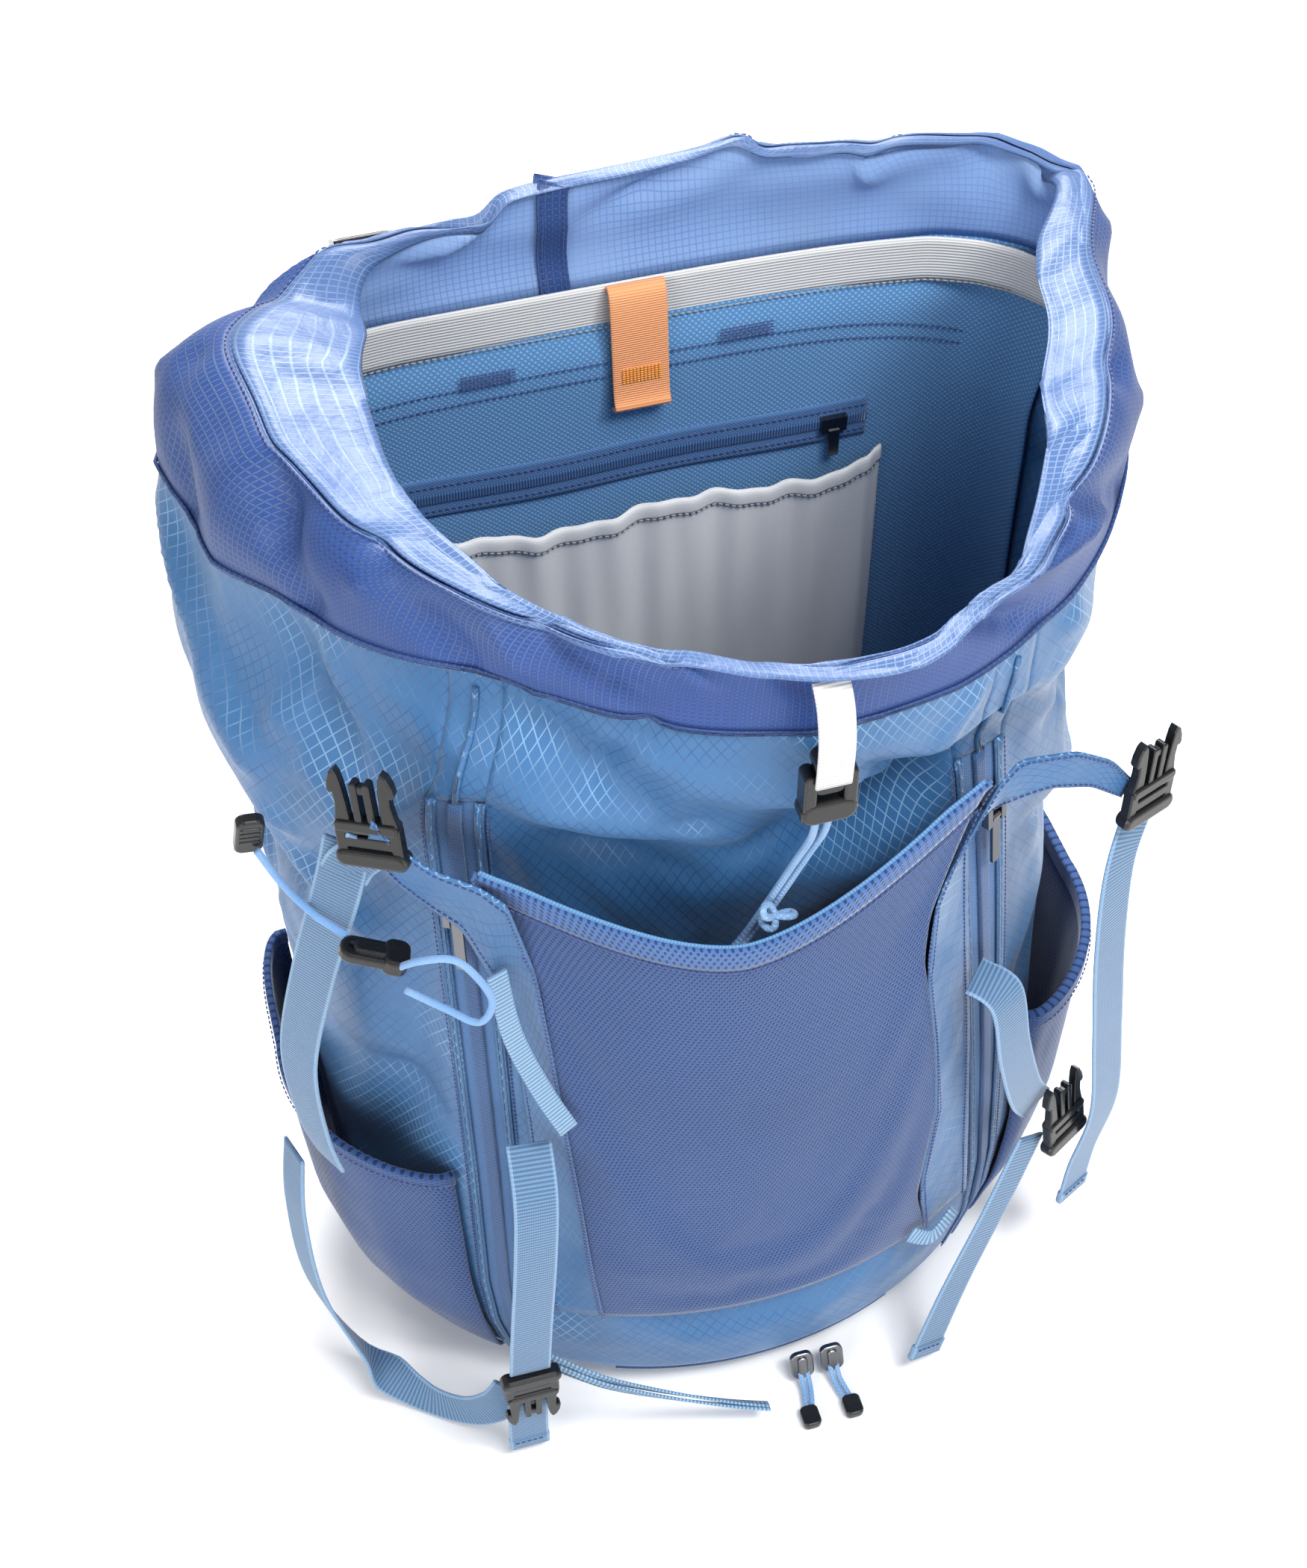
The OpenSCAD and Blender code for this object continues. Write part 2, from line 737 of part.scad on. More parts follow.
front_panel();
left_panel();
right_panel();
back_panel();
base_panel();
collar();
hem_cord();
left_zip();
right_zip();
base_zip();
front_pocket();
left_wing();
right_wing();
left_side_pocket();
right_side_pocket();
frame_sheet();
frame_wire();
inner_back_panel();
hydration_sleeve();
inner_zip();
mouth_binding();
name_tab();
back_pads();
haul_loop();
shoulder_strap_left();
shoulder_strap_right();
harness_webbing();
ladder_locks();
sternum_strap();
sternum_buckle();
belt_anchors();
hip_fin_left();
hip_fin_right();
hip_webbing_left();
hip_webbing_right();
hip_buckle_female();
hip_buckle_male();
left_zip_slider();
left_zip_pull();
right_zip_slider();
right_zip_pull();
base_zip_slider_left();
base_zip_slider_right();
inner_zip_slider();
upper_left_buckle();
upper_left_strap();
upper_right_buckle();
upper_right_strap();
lower_left_buckle();
lower_left_strap();
left_loop_strap();
lower_right_buckle();
lower_right_strap();
cord_lock_body();
cord_lock_button();
cord_lock_tab();
drawcord();
elastic_cord();
elastic_hook();
webbing_loops();
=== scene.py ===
"""Looks of the open daypack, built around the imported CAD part.

Lengths are in millimetres in the CAD frame until a mesh is made, and meshes are in metres.
Outline angles are in degrees: 0 is the bag's right side, 90 its back and 270 its front.
"""

import math

import bmesh
import bpy
import numpy as np
from mathutils import Matrix, Vector


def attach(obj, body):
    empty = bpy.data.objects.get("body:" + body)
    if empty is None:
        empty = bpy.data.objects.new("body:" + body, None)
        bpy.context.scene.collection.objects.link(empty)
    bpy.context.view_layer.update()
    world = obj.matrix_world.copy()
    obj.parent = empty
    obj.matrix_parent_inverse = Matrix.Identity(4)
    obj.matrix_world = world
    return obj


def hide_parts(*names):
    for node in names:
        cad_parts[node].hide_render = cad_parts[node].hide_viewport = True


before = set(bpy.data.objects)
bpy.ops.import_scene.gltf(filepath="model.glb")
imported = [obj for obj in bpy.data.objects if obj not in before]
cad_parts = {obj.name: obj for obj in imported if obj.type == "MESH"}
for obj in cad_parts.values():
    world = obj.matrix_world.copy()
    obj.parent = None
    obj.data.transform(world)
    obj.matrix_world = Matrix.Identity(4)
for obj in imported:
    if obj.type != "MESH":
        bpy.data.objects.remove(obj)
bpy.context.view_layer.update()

MM = 0.001

# ---- Sizes of the bag, as in the CAD part -----------------------------------------------------

SEAM, CREST = 515, 565
STRAIGHT_TOP = 440
HALF_WIDTH = 190
POCKET_LOW, POCKET_TOP = 92, 398
SIDE_POCKET_TOP = 192
HALF_WIDTH_AT = [(0, 150), (6, 160), (20, 168), (60, 178), (100, 183), (440, 190), (SEAM, 195),
                 (CREST, 150)]
FRONT_DEPTH_AT = [(0, 98), (6, 118), (20, 134), (60, 140), (100, 139), (440, 120), (SEAM, 138),
                  (CREST, 158)]
BACK_DEPTH_AT = [(0, 96), (6, 106), (20, 110), (100, 112), (CREST, 112)]
LEAN_AT = [(0, 10), (200, 8), (440, 3), (CREST, 0)]
LEFT_ZIP_AT = [(60, 228), (440, 232)]
RIGHT_ZIP_AT = [(60, 316), (440, 300)]
ZIP_HALF = 4
UP = np.array([0, 0, 1.0])
FLAT = np.array([1, 1, 0])


def lookup(x, pairs):
    """Value at x on the straight lines between (x, value) pairs."""
    return np.interp(x, [p[0] for p in pairs], [p[1] for p in pairs])


def smooth(x):
    """0 below 0, 1 above 1 and a smooth step between."""
    t = np.clip(x, 0, 1)
    return t * t * (3 - 2 * t)


def mix(a, b, t):
    return a + (b - a) * t


def power(value, exponent):
    return np.sign(value) * np.abs(value) ** exponent


def outline(angle, z, grow=0.0):
    """Points of the bag's outline, grown by grow."""
    angle, z, grow = np.broadcast_arrays(np.radians(angle), np.asarray(z, float), grow)
    c, s = np.cos(angle), np.sin(angle)
    back = s > 0
    exponent = np.where(back, 0.4, 1.0)
    depth = np.where(back, lookup(z, BACK_DEPTH_AT), lookup(z, FRONT_DEPTH_AT)) + grow
    width = lookup(z, HALF_WIDTH_AT) + grow
    return np.stack([lookup(z, LEAN_AT) + width * power(c, exponent),
                     depth * power(s, exponent), z], -1)


def curve(route, count):
    """Catmull-Rom points through a route, with count steps between neighbours."""
    p = np.array(route, float)
    p = np.vstack([p[:1], p, p[-1:]])
    t = np.arange(count)[:, None] / count
    out = []
    for a, b, c, d in zip(p, p[1:], p[2:], p[3:]):
        out.append(0.5 * (2 * b + (c - a) * t + (2 * a - 5 * b + 4 * c - d) * t ** 2
                          + (3 * b - a - 3 * c + d) * t ** 3))
    return np.vstack([*out, p[-1:]])


def unit(v):
    return v / np.maximum(np.linalg.norm(v, axis=-1, keepdims=True), 1e-9)


def run_along(path):
    """Distance along a path to each of its points."""
    return np.concatenate([[0], np.cumsum(np.linalg.norm(np.diff(path, axis=0), axis=1))])


def between(at, run, path):
    """Points of a path at given distances, where run holds the distance of each of its points."""
    return np.stack([np.interp(at, run, path[:, k]) for k in range(3)], -1)


def nearest(values, x):
    return int(np.abs(values - x).argmin())


# ---- Camera and light -------------------------------------------------------------------------

CAMERA_AT = Vector((-0.2108, -0.7106, 1.208))
CAMERA_TARGET = Vector((-0.007, 0.0, 0.327))
CAMERA_LENS = 58.5


def add_object(name, data):
    obj = bpy.data.objects.new(name, data)
    bpy.context.scene.collection.objects.link(obj)
    return obj


def aim(obj, target):
    obj.rotation_euler = (target - obj.location).to_track_quat("-Z", "Y").to_euler()


def make_camera():
    camera = add_object("camera", bpy.data.cameras.new("camera"))
    camera.data.lens = CAMERA_LENS
    camera.data.sensor_width = 36
    camera.location = CAMERA_AT
    aim(camera, CAMERA_TARGET)
    bpy.context.scene.camera = camera


def area_light(name, location, size, watts, target=(0, 0, 0.3)):
    light = bpy.data.lights.new(name, "AREA")
    light.shape = "DISK"
    light.size = size
    light.energy = watts
    obj = add_object(name, light)
    obj.location = location
    aim(obj, Vector(target))


def make_studio():
    world = bpy.data.worlds.new("studio")
    world.use_nodes = True
    colour, strength = world.node_tree.nodes["Background"].inputs[:2]
    colour.default_value, strength.default_value = (1, 1, 1, 1), 0.52
    bpy.context.scene.world = world
    bpy.context.scene.view_settings.view_transform = "Standard"
    area_light("key_light", (0.3, -0.9, 2.3), 0.8, 25)
    area_light("fill_light", (-1.6, -1.2, 1.1), 1.4, 18)
    area_light("front_light", (0.3, -2.0, 0.5), 1.4, 11)
    area_light("mouth_light", (0.55, -0.7, 1.6), 0.3, 9, (-0.08, 0.1, 0.45))
    area_light("back_light", (0.3, 1.5, 1.6), 1.0, 55)


make_camera()
make_studio()

# ---- Meshes -----------------------------------------------------------------------------------


def grid_faces(rows, cols, wrapped=False):
    """Quads of a grid of points held row by row. If wrapped, the last column meets the first."""
    r = np.arange(rows - 1)[:, None] * cols
    c = np.arange(cols if wrapped else cols - 1)[None, :]
    n = (c + 1) % cols
    return np.stack([r + c, r + n, r + cols + n, r + cols + c], -1).reshape(-1, 4)


def grid_uv(points):
    """(across, along) of each grid point in metres, measured over the surface."""
    across = np.linalg.norm(np.diff(points, axis=1), axis=2).mean(0)
    along = np.linalg.norm(np.diff(points, axis=0), axis=2).mean(1)
    u = np.concatenate([[0], np.cumsum(across)]) * MM
    v = np.concatenate([[0], np.cumsum(along)]) * MM
    return np.stack(np.meshgrid(u, v), -1)


def raw_mesh(name, points, faces):
    """A mesh from points in mm."""
    mesh = bpy.data.meshes.new(name)
    mesh.from_pydata((np.asarray(points, float).reshape(-1, 3) * MM).tolist(), [],
                     [tuple(int(i) for i in face) for face in faces])
    return mesh


def set_uv(mesh, uv):
    """Gives each corner the uv of its point."""
    layer = mesh.uv_layers.new(name="cloth")
    corners = np.zeros(len(mesh.loops), int)
    mesh.loops.foreach_get("vertex_index", corners)
    layer.data.foreach_set("uv", np.asarray(uv, float).reshape(-1, 2)[corners].ravel())


def coordinates(mesh):
    co = np.zeros(len(mesh.vertices) * 3)
    mesh.vertices.foreach_get("co", co)
    return co.reshape(-1, 3)


def build(name, points, faces, uv, material, body="pack"):
    """A mesh piece from points in mm, with a uv for each point, that rides on a CAD body."""
    mesh = raw_mesh(name, points, faces)
    if uv is not None:
        set_uv(mesh, uv)
    mesh.materials.append(material)
    mesh.polygons.foreach_set("use_smooth", [True] * len(mesh.polygons))
    mesh.update()
    obj = add_object(name, mesh)
    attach(obj, body)
    return obj


def finish_piece(obj, slot, *nodes):
    if nodes:
        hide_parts(*nodes)
    return obj


def cloth(name, grid, material, slot, *nodes, thick=1.0, offset=-1.0, inner=None):
    """A thin cloth piece from a grid of points[row][column], with a second material inside."""
    grid = np.asarray(grid, float)
    obj = build(name, grid, grid_faces(*grid.shape[:2]), grid_uv(grid), material)
    modifier = obj.modifiers.new("round", "SUBSURF")
    modifier.levels = modifier.render_levels = 1
    modifier.boundary_smooth = "PRESERVE_CORNERS"
    modifier = obj.modifiers.new("thickness", "SOLIDIFY")
    modifier.thickness = thick * MM
    modifier.offset = offset
    if inner is not None:
        obj.data.materials.append(inner)
        modifier.material_offset = 1
    return finish_piece(obj, slot, *nodes)


def final_mesh(obj):
    """A new mesh of what an object looks like with its modifiers."""
    graph = bpy.context.evaluated_depsgraph_get()
    return bpy.data.meshes.new_from_object(obj.evaluated_get(graph))


def apply_modifiers(obj):
    mesh = final_mesh(obj)
    obj.modifiers.clear()
    obj.data = mesh


def sweep_mesh(path, section, wanted):
    """Points, faces and uvs of a section swept along a path, closed at both ends.

    The section's width lies along wanted, one vector or one for each point of the path."""
    path, section, wanted = (np.asarray(x, float) for x in (path, section, wanted))
    count, sides = len(path), len(section)
    along = unit(np.gradient(path, axis=0))
    across = unit(wanted - along * (wanted * along).sum(1, keepdims=True))
    out = np.cross(along, across)
    points = (path[:, None] + across[:, None] * section[None, :, :1]
              + out[:, None] * section[None, :, 1:])
    faces = [f[::-1] for f in grid_faces(count, sides, True).tolist()]
    faces += [list(range(sides)), list(range((count - 1) * sides, count * sides))[::-1]]
    uv = np.stack([np.broadcast_to(section[:, 0], (count, sides)) * MM,
                   np.broadcast_to(run_along(path)[:, None] * MM, (count, sides))], -1)
    return points.reshape(-1, 3), faces, uv.reshape(-1, 2)


def tape_section(width, thick):
    """Outline of a woven tape with rounded edges."""
    w, t = width / 2, thick / 2
    right = [(w - 1.2, -t), (w - 0.4, -t * 0.95), (w, -t * 0.4), (w, t * 0.4), (w - 0.4, t * 0.95),
             (w - 1.2, t)]
    middle = [(w / 2, t), (0, t), (-w / 2, t)]
    left = [(-x, -y) for x, y in right]
    return right + middle + left + [(-x, -y) for x, y in middle]


def round_section(d, sides=12):
    return [(d / 2 * math.cos(i * math.tau / sides), d / 2 * math.sin(i * math.tau / sides))
            for i in range(sides)]


def swept(name, route, section, material, slot, *nodes, first=(1, 0, 0), last=None, steps=8,
          body="pack"):
    """A section swept along a smooth route, its width turning from first to last."""
    path = curve(route, steps)
    first, last = (np.array(v, float) for v in (first, first if last is None else last))
    wanted = mix(first, last, np.linspace(0, 1, len(path))[:, None])
    points, faces, uv = sweep_mesh(path, section, wanted)
    return finish_piece(build(name, points, faces, uv, material, body), slot, *nodes)


def ribbon(name, path, across, width, thick, material, slot, *nodes):
    """A narrow strip along a path, its width lying along across."""
    points, faces, uv = sweep_mesh(path, tape_section(width, thick), across)
    return finish_piece(build(name, points, faces, uv, material), slot, *nodes)


def joined(name, objects):
    """One object from several, named and riding as the first."""
    with bpy.context.temp_override(active_object=objects[0], object=objects[0],
                                   selected_editable_objects=objects,
                                   selected_objects=objects):
        bpy.ops.object.join()
    objects[0].name = name
    objects[0].data.name = name
    return objects[0]


def plate(name, outlines, thick, material, where, bevel=0.6, body="pack"):
    """A moulded plate from outlines in its own XY plane, the first solid and the rest holes."""
    data = bpy.data.curves.new(name, "CURVE")
    data.dimensions = "2D"
    data.fill_mode = "BOTH"
    data.extrude = (thick / 2 - bevel) * MM
    data.bevel_depth = bevel * MM
    data.bevel_resolution = 2
    for points in outlines:
        spline = data.splines.new("POLY")
        spline.points.add(len(points) - 1)
        for target, (x, y) in zip(spline.points, points):
            target.co = (x * MM, y * MM, 0, 1)
        spline.use_cyclic_u = True
    holder = add_object(name + "_curve", data)
    mesh = final_mesh(holder)
    bpy.data.objects.remove(holder)
    mesh.name = name
    mesh.materials.clear()
    mesh.materials.append(material)
    mesh.transform(where)
    mesh.polygons.foreach_set("use_smooth", [False] * len(mesh.polygons))
    obj = add_object(name, mesh)
    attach(obj, body)
    return obj


def moulded(name, plates, where, *nodes, material=None, slot="black_acetal", body="pack"):
    """One moulded piece from plates, each given as (outlines, thickness, bevel)."""
    parts = [plate(f"{name}_{k}", outlines, thick, material or BLACK, where, bevel)
             for k, (outlines, thick, bevel) in enumerate(plates)]
    piece = joined(name, parts)
    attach(piece, body)
    return finish_piece(piece, slot, *nodes)


def place(x, y, z, rx=0, ry=0, rz=0):
    """Matrix of a place in mm turned about X, then Y, then Z in degrees, as OpenSCAD turns it."""
    turn = (Matrix.Rotation(math.radians(rz), 4, "Z") @ Matrix.Rotation(math.radians(ry), 4, "Y")
            @ Matrix.Rotation(math.radians(rx), 4, "X"))
    return Matrix.Translation(Vector((x, y, z)) * MM) @ turn


def rounded_box(width, height, radius, x=0.0, y=0.0, steps=4):
    """Outline of a rectangle with round corners, centred at x, y."""
    out = []
    for k, (sx, sy) in enumerate([(1, 1), (-1, 1), (-1, -1), (1, -1)]):
        cx, cy = x + sx * (width / 2 - radius), y + sy * (height / 2 - radius)
        for i in range(steps + 1):
            a = math.radians(90 * k + 90 * i / steps)
            out.append((cx + radius * math.cos(a), cy + radius * math.sin(a)))
    return out

# ---- Materials --------------------------------------------------------------------------------


class Look:
    """A material's node tree, built with short calls. Patterns are worked out in millimetres."""

    def __init__(self, name):
        self.material = bpy.data.materials.new(name)
        self.material.use_nodes = True
        self.tree = self.material.node_tree
        self.tree.nodes.clear()
        self.out = self.tree.nodes.new("ShaderNodeOutputMaterial")

    def node(self, kind, values=(), **settings):
        made = self.tree.nodes.new("ShaderNode" + kind)
        for key, value in settings.items():
            setattr(made, key, value)
        for key, value in dict(values).items():
            if isinstance(value, bpy.types.NodeSocket):
                self.tree.links.new(value, made.inputs[key])
            else:
                made.inputs[key].default_value = value
        return made

    def math(self, operation, a, b=0.0, c=0.0):
        return self.node("Math", {0: a, 1: b, 2: c}, operation=operation).outputs[0]

    def cloth_uv(self):
        """(across, along) in mm over the cloth."""
        at = self.node("UVMap", uv_map="cloth").outputs[0]
        at = self.node("Mapping", {"Vector": at, "Scale": (1 / MM, 1 / MM, 1)}).outputs[0]
        parts = self.node("SeparateXYZ", {0: at}).outputs
        return parts[0], parts[1]

    def times(self, a, b):
        return self.math("MULTIPLY", a, b)

    def plus(self, a, b):
        return self.math("ADD", a, b)

    def span(self, value, low=0.0, high=1.0, to_low=0.0, to_high=1.0, kind="LINEAR"):
        """Value from low to high, spread from to_low to to_high."""
        return self.node("MapRange", {0: value, 1: low, 2: high, 3: to_low, 4: to_high},
                         interpolation_type=kind).outputs[0]

    def line(self, x, pitch, width):
        """1 on lines of that width every pitch along x, and 0 between them."""
        away = self.math("PINGPONG", x, pitch / 2)
        return self.span(away, width * 0.25, width * 0.75, 1.0, 0.0, "SMOOTHSTEP")

    def wave(self, x, pitch):
        """A wave from 0 to 1 with that pitch along x."""
        turned = self.math("SINE", self.times(x, math.tau / pitch))
        return self.math("MULTIPLY_ADD", turned, 0.5, 0.5)

    def crossed(self, u, v, pitch):
        """Two sets of waves that cross each other."""
        return self.times(self.wave(self.plus(u, v), pitch),
                          self.wave(self.math("SUBTRACT", u, v), pitch))

    def noise(self, scale, detail=2.0, stretch=(1, 1, 1)):
        at = self.node("TexCoord").outputs["Object"]
        at = self.node("Mapping", {"Vector": at, "Scale": stretch}).outputs[0]
        return self.node("TexNoise", {"Vector": at, "Scale": scale, "Detail": detail}).outputs[0]

    def colour(self, factor, low, high):
        ramp = self.node("Mix", data_type="RGBA")
        for index, value in ((0, factor), (6, low), (7, high)):
            if isinstance(value, bpy.types.NodeSocket):
                self.tree.links.new(value, ramp.inputs[index])
            else:
                ramp.inputs[index].default_value = value if index == 0 else (*value, 1)
        return ramp.outputs[2]

    def uneven(self, base, scale, low, high):
        """A colour that drifts between a darker and a brighter share of itself."""
        return self.colour(self.noise(scale, 3), shade(base, low), shade(base, high))

    def bump(self, height, distance, strength=1.0, over=None):
        values = {"Height": height, "Distance": distance * MM, "Strength": strength}
        if over is not None:
            values["Normal"] = over
        return self.node("Bump", values).outputs[0]

    def finish(self, colour, roughness, normal=None, translucent=0.0, **sockets):
        values = {"Roughness": roughness}
        values.update({key.replace("_", " "): value for key, value in sockets.items()})
        shader = self.node("BsdfPrincipled", values)
        if isinstance(colour, bpy.types.NodeSocket):
            self.tree.links.new(colour, shader.inputs["Base Color"])
        else:
            shader.inputs["Base Color"].default_value = (*colour, 1)
        if normal is not None:
            self.tree.links.new(normal, shader.inputs["Normal"])
        surface = shader.outputs[0]
        if translucent:
            through = self.node("BsdfTranslucent")
            if isinstance(colour, bpy.types.NodeSocket):
                self.tree.links.new(colour, through.inputs[0])
            surface = self.node("MixShader", {0: translucent, 1: surface,
                                              2: through.outputs[0]}).outputs[0]
        self.tree.links.new(surface, self.out.inputs[0])
        return self.material


def rgb(red, green, blue):
    """Linear colour of an sRGB colour given from 0 to 255."""
    def one(x):
        x /= 255
        return x / 12.92 if x <= 0.04045 else ((x + 0.055) / 1.055) ** 2.4
    return one(red), one(green), one(blue)


def shade(base, share):
    return tuple(share * x for x in base)


def diamond_ripstop(name, base, dark, pale, crinkle=1.0):
    """Coated ripstop: a plain weave under shiny thicker threads in 6 by 9 mm diamonds."""
    look = Look(name)
    u, v = look.cloth_uv()
    rise = look.times(v, 6 / 9)
    threads = look.math("MAXIMUM", look.line(look.plus(u, rise), 6, 0.62),
                        look.line(look.math("SUBTRACT", u, rise), 6, 0.62))
    # Painted sheen: the threads turn from their dark colour to pale in noise patches, and more where
    # the cloth faces up, standing in for the light their shine catches.
    upward_sheen = look.node("SeparateXYZ", {0: look.node("NewGeometry").outputs["Normal"]}).outputs[2]
    painted_sheen_zone = look.math("MULTIPLY_ADD", look.noise(13, 1), 1.2, -0.36)
    painted_sheen_zone = look.plus(painted_sheen_zone, look.times(upward_sheen, 0.5))
    thread_colour_with_painted_sheen = look.colour(look.span(painted_sheen_zone, 0.25, 0.6, kind="SMOOTHSTEP"), dark, pale)
    fine = look.times(look.wave(u, 1.1), look.wave(v, 1.1))
    ground = look.uneven(base, 9, 0.86, 1.1)
    ground = look.colour(look.times(fine, 0.25), ground, shade(base, 0.55))
    colour = look.colour(look.times(threads, 0.62), ground, thread_colour_with_painted_sheen)
    normal = look.bump(look.noise(11, 3, (1, 1, 0.7)), 14.0 * crinkle, 0.6)
    normal = look.bump(look.noise(34, 4, (1, 1, 0.6)), 4.0 * crinkle, 0.6, normal)
    normal = look.bump(look.plus(threads, look.times(fine, 0.3)), 0.12, 0.6, normal)
    return look.finish(colour, 0.46, normal, Sheen_Weight=0.12, Sheen_Roughness=0.4,
                       Specular_IOR_Level=0.42)


def square_ripstop(name, base, pale, crinkle=1.0, translucent=0.3, show_through_shade=0.0, pitch=3.0):
    """Thin ripstop with a fine pale square grid. Light comes through it."""
    look = Look(name)
    u, v = look.cloth_uv()
    grid = look.math("MAXIMUM", look.line(u, pitch, 0.5), look.line(v, pitch, 0.5))
    ground = look.uneven(base, 11, 0.82, 1.12)
    # Painted shade: darker dashes where the grid of the cloth behind shows through the thin skirt.
    if show_through_shade:
        marks = look.times(look.line(u, pitch, 1.5), look.line(v, pitch, 0.9))
        ground = look.colour(look.times(marks, show_through_shade), ground, shade(base, 0.3))
    patch = look.span(look.noise(16, 1), 0.38, 0.62, 0.1, 0.55)
    colour = look.colour(look.times(grid, patch), ground, pale)
    normal = look.bump(look.noise(42, 5, (1, 1, 0.5)), 2.6 * crinkle, 0.6)
    normal = look.bump(grid, 0.08, 0.5, normal)
    return look.finish(colour, 0.4, normal, translucent, Specular_IOR_Level=0.45, Sheen_Weight=0.1)


def knit_mesh(name, thread, gap, pitch):
    """Stretch knit: rows of small open cells, each row shifted by half a cell."""
    look = Look(name)
    u, v = look.cloth_uv()
    cells = look.crossed(u, look.times(v, 0.5), pitch)
    cells = look.span(cells, 0.2, 0.6, kind="SMOOTHSTEP")
    # The holes take the dark gap colour: painted shade of the dark space seen through the knit.
    colour = look.colour(look.times(cells, 0.75), look.uneven(thread, 10, 0.8, 1.15), gap)
    normal = look.bump(look.noise(24, 3, (1, 1, 0.5)), 2.0, 0.4)
    normal = look.bump(cells, -0.35, 0.7, normal)
    return look.finish(colour, 0.72, normal, Sheen_Weight=0.35, Sheen_Roughness=0.35,
                       Specular_IOR_Level=0.25)


def ribbed_tape(name, base, pitch, dark_share, bright_edge=None, half_width=10.0):
    """Woven tape or webbing with ribs across it and, if asked, brighter edges."""
    look = Look(name)
    u, v = look.cloth_uv()
    rib = look.math("MULTIPLY_ADD", look.wave(u, 1.0), 0.35, 0.65)
    threads = look.times(look.wave(v, pitch), rib)
    colour = look.colour(threads, shade(base, dark_share), look.uneven(base, 14, 0.88, 1.1))
    if bright_edge is not None:
        edge = look.span(look.math("ABSOLUTE", u), half_width - 1.6, half_width - 0.9)
        colour = look.colour(look.times(edge, 0.5), colour, bright_edge)
    normal = look.bump(look.noise(30, 3), 0.8, 0.35)
    normal = look.bump(threads, 0.35, 0.8, normal)
    return look.finish(colour, 0.6, normal, Sheen_Weight=0.25, Sheen_Roughness=0.4,
                       Specular_IOR_Level=0.3)


def basket_weave(name, base, pitch, dark):
    """Coarse plain weave."""
    look = Look(name)
    over = look.crossed(*look.cloth_uv(), pitch * 1.41)
    colour = look.colour(over, shade(base, dark), look.uneven(base, 9, 0.88, 1.1))
    normal = look.bump(look.noise(20, 3), 1.5, 0.3)
    normal = look.bump(over, 0.3, 0.8, normal)
    return look.finish(colour, 0.62, normal, Sheen_Weight=0.2, Specular_IOR_Level=0.3)


def twill(name, base, pitch=0.9):
    """Fine diagonal weave with a soft shine."""
    look = Look(name)
    u, v = look.cloth_uv()
    rows = look.wave(look.plus(u, look.times(v, 1.6)), pitch)
    colour = look.colour(look.times(rows, 0.35), look.uneven(base, 8, 0.9, 1.07), shade(base, 0.6))
    normal = look.bump(look.noise(26, 4, (1, 1, 0.3)), 1.8, 0.4)
    normal = look.bump(rows, 0.1, 0.5, normal)
    return look.finish(colour, 0.42, normal, Sheen_Weight=0.2, Specular_IOR_Level=0.45)


def braid(name, base, dark_share=0.6, pitch=2.2):
    """Braided cord: two sets of strands that cross round it."""
    look = Look(name)
    u, v = look.cloth_uv()
    strands = look.crossed(look.times(u, 1.4), v, pitch)
    colour = look.colour(strands, shade(base, dark_share), shade(base, 1.08))
    colour = look.colour(look.times(look.noise(40, 2), 0.25), colour, (0.8, 0.9, 1.0))
    normal = look.bump(strands, 0.35, 0.8)
    return look.finish(colour, 0.55, normal, Sheen_Weight=0.3, Specular_IOR_Level=0.3)


def moulded_plastic(name, base, roughness):
    """Moulded acetal: smooth, a little uneven, and paler in noisy patches on its sharp edges."""
    look = Look(name)
    edge = look.node("NewGeometry").outputs["Pointiness"]
    paler_edges = look.times(look.span(edge, 0.52, 0.6, 0.0, 0.1), look.noise(220, 3))
    colour = look.colour(paler_edges, base, (0.16, 0.17, 0.19))
    rough = look.span(look.noise(120, 3), to_low=roughness - 0.06, to_high=roughness + 0.12)
    normal = look.bump(look.noise(900, 2), 0.03, 0.5)
    return look.finish(colour, rough, normal, Specular_IOR_Level=0.5)


def brushed_metal(name, base):
    look = Look(name)
    streaks = look.noise(300, 3, (1, 1, 0.05))
    colour = look.colour(streaks, shade(base, 0.8), base)
    return look.finish(colour, 0.3, look.bump(streaks, 0.02, 0.4), Metallic=1.0)


def stitch_thread(name, base):
    look = Look(name)
    twist = look.noise(900, 2)
    colour = look.colour(twist, shade(base, 0.7), shade(base, 1.2))
    return look.finish(colour, 0.5, look.bump(twist, 0.1, 0.6), Sheen_Weight=0.3)


BODY_BLUE = rgb(54, 104, 153)
DEEP_BLUE = rgb(28, 66, 118)
# Pale thread colour of the body's diamond ripstop, and the pale given to the base cloth below:
# painted sheen.
PAINTED_SHEEN_BLUE = rgb(146, 186, 222)

BODY = diamond_ripstop("body_ripstop", BODY_BLUE, DEEP_BLUE, PAINTED_SHEEN_BLUE)
BASE = diamond_ripstop("base_cloth", rgb(72, 126, 178), DEEP_BLUE, rgb(140, 180, 218), 0.8)
SKIRT = square_ripstop("collar_skirt_ripstop", rgb(66, 100, 168), rgb(136, 166, 212),
                       translucent=0.5, show_through_shade=0.8)
HEM = square_ripstop("collar_hem_ripstop", rgb(84, 116, 170), rgb(160, 186, 220),
                     crinkle=1.4, translucent=0.25)
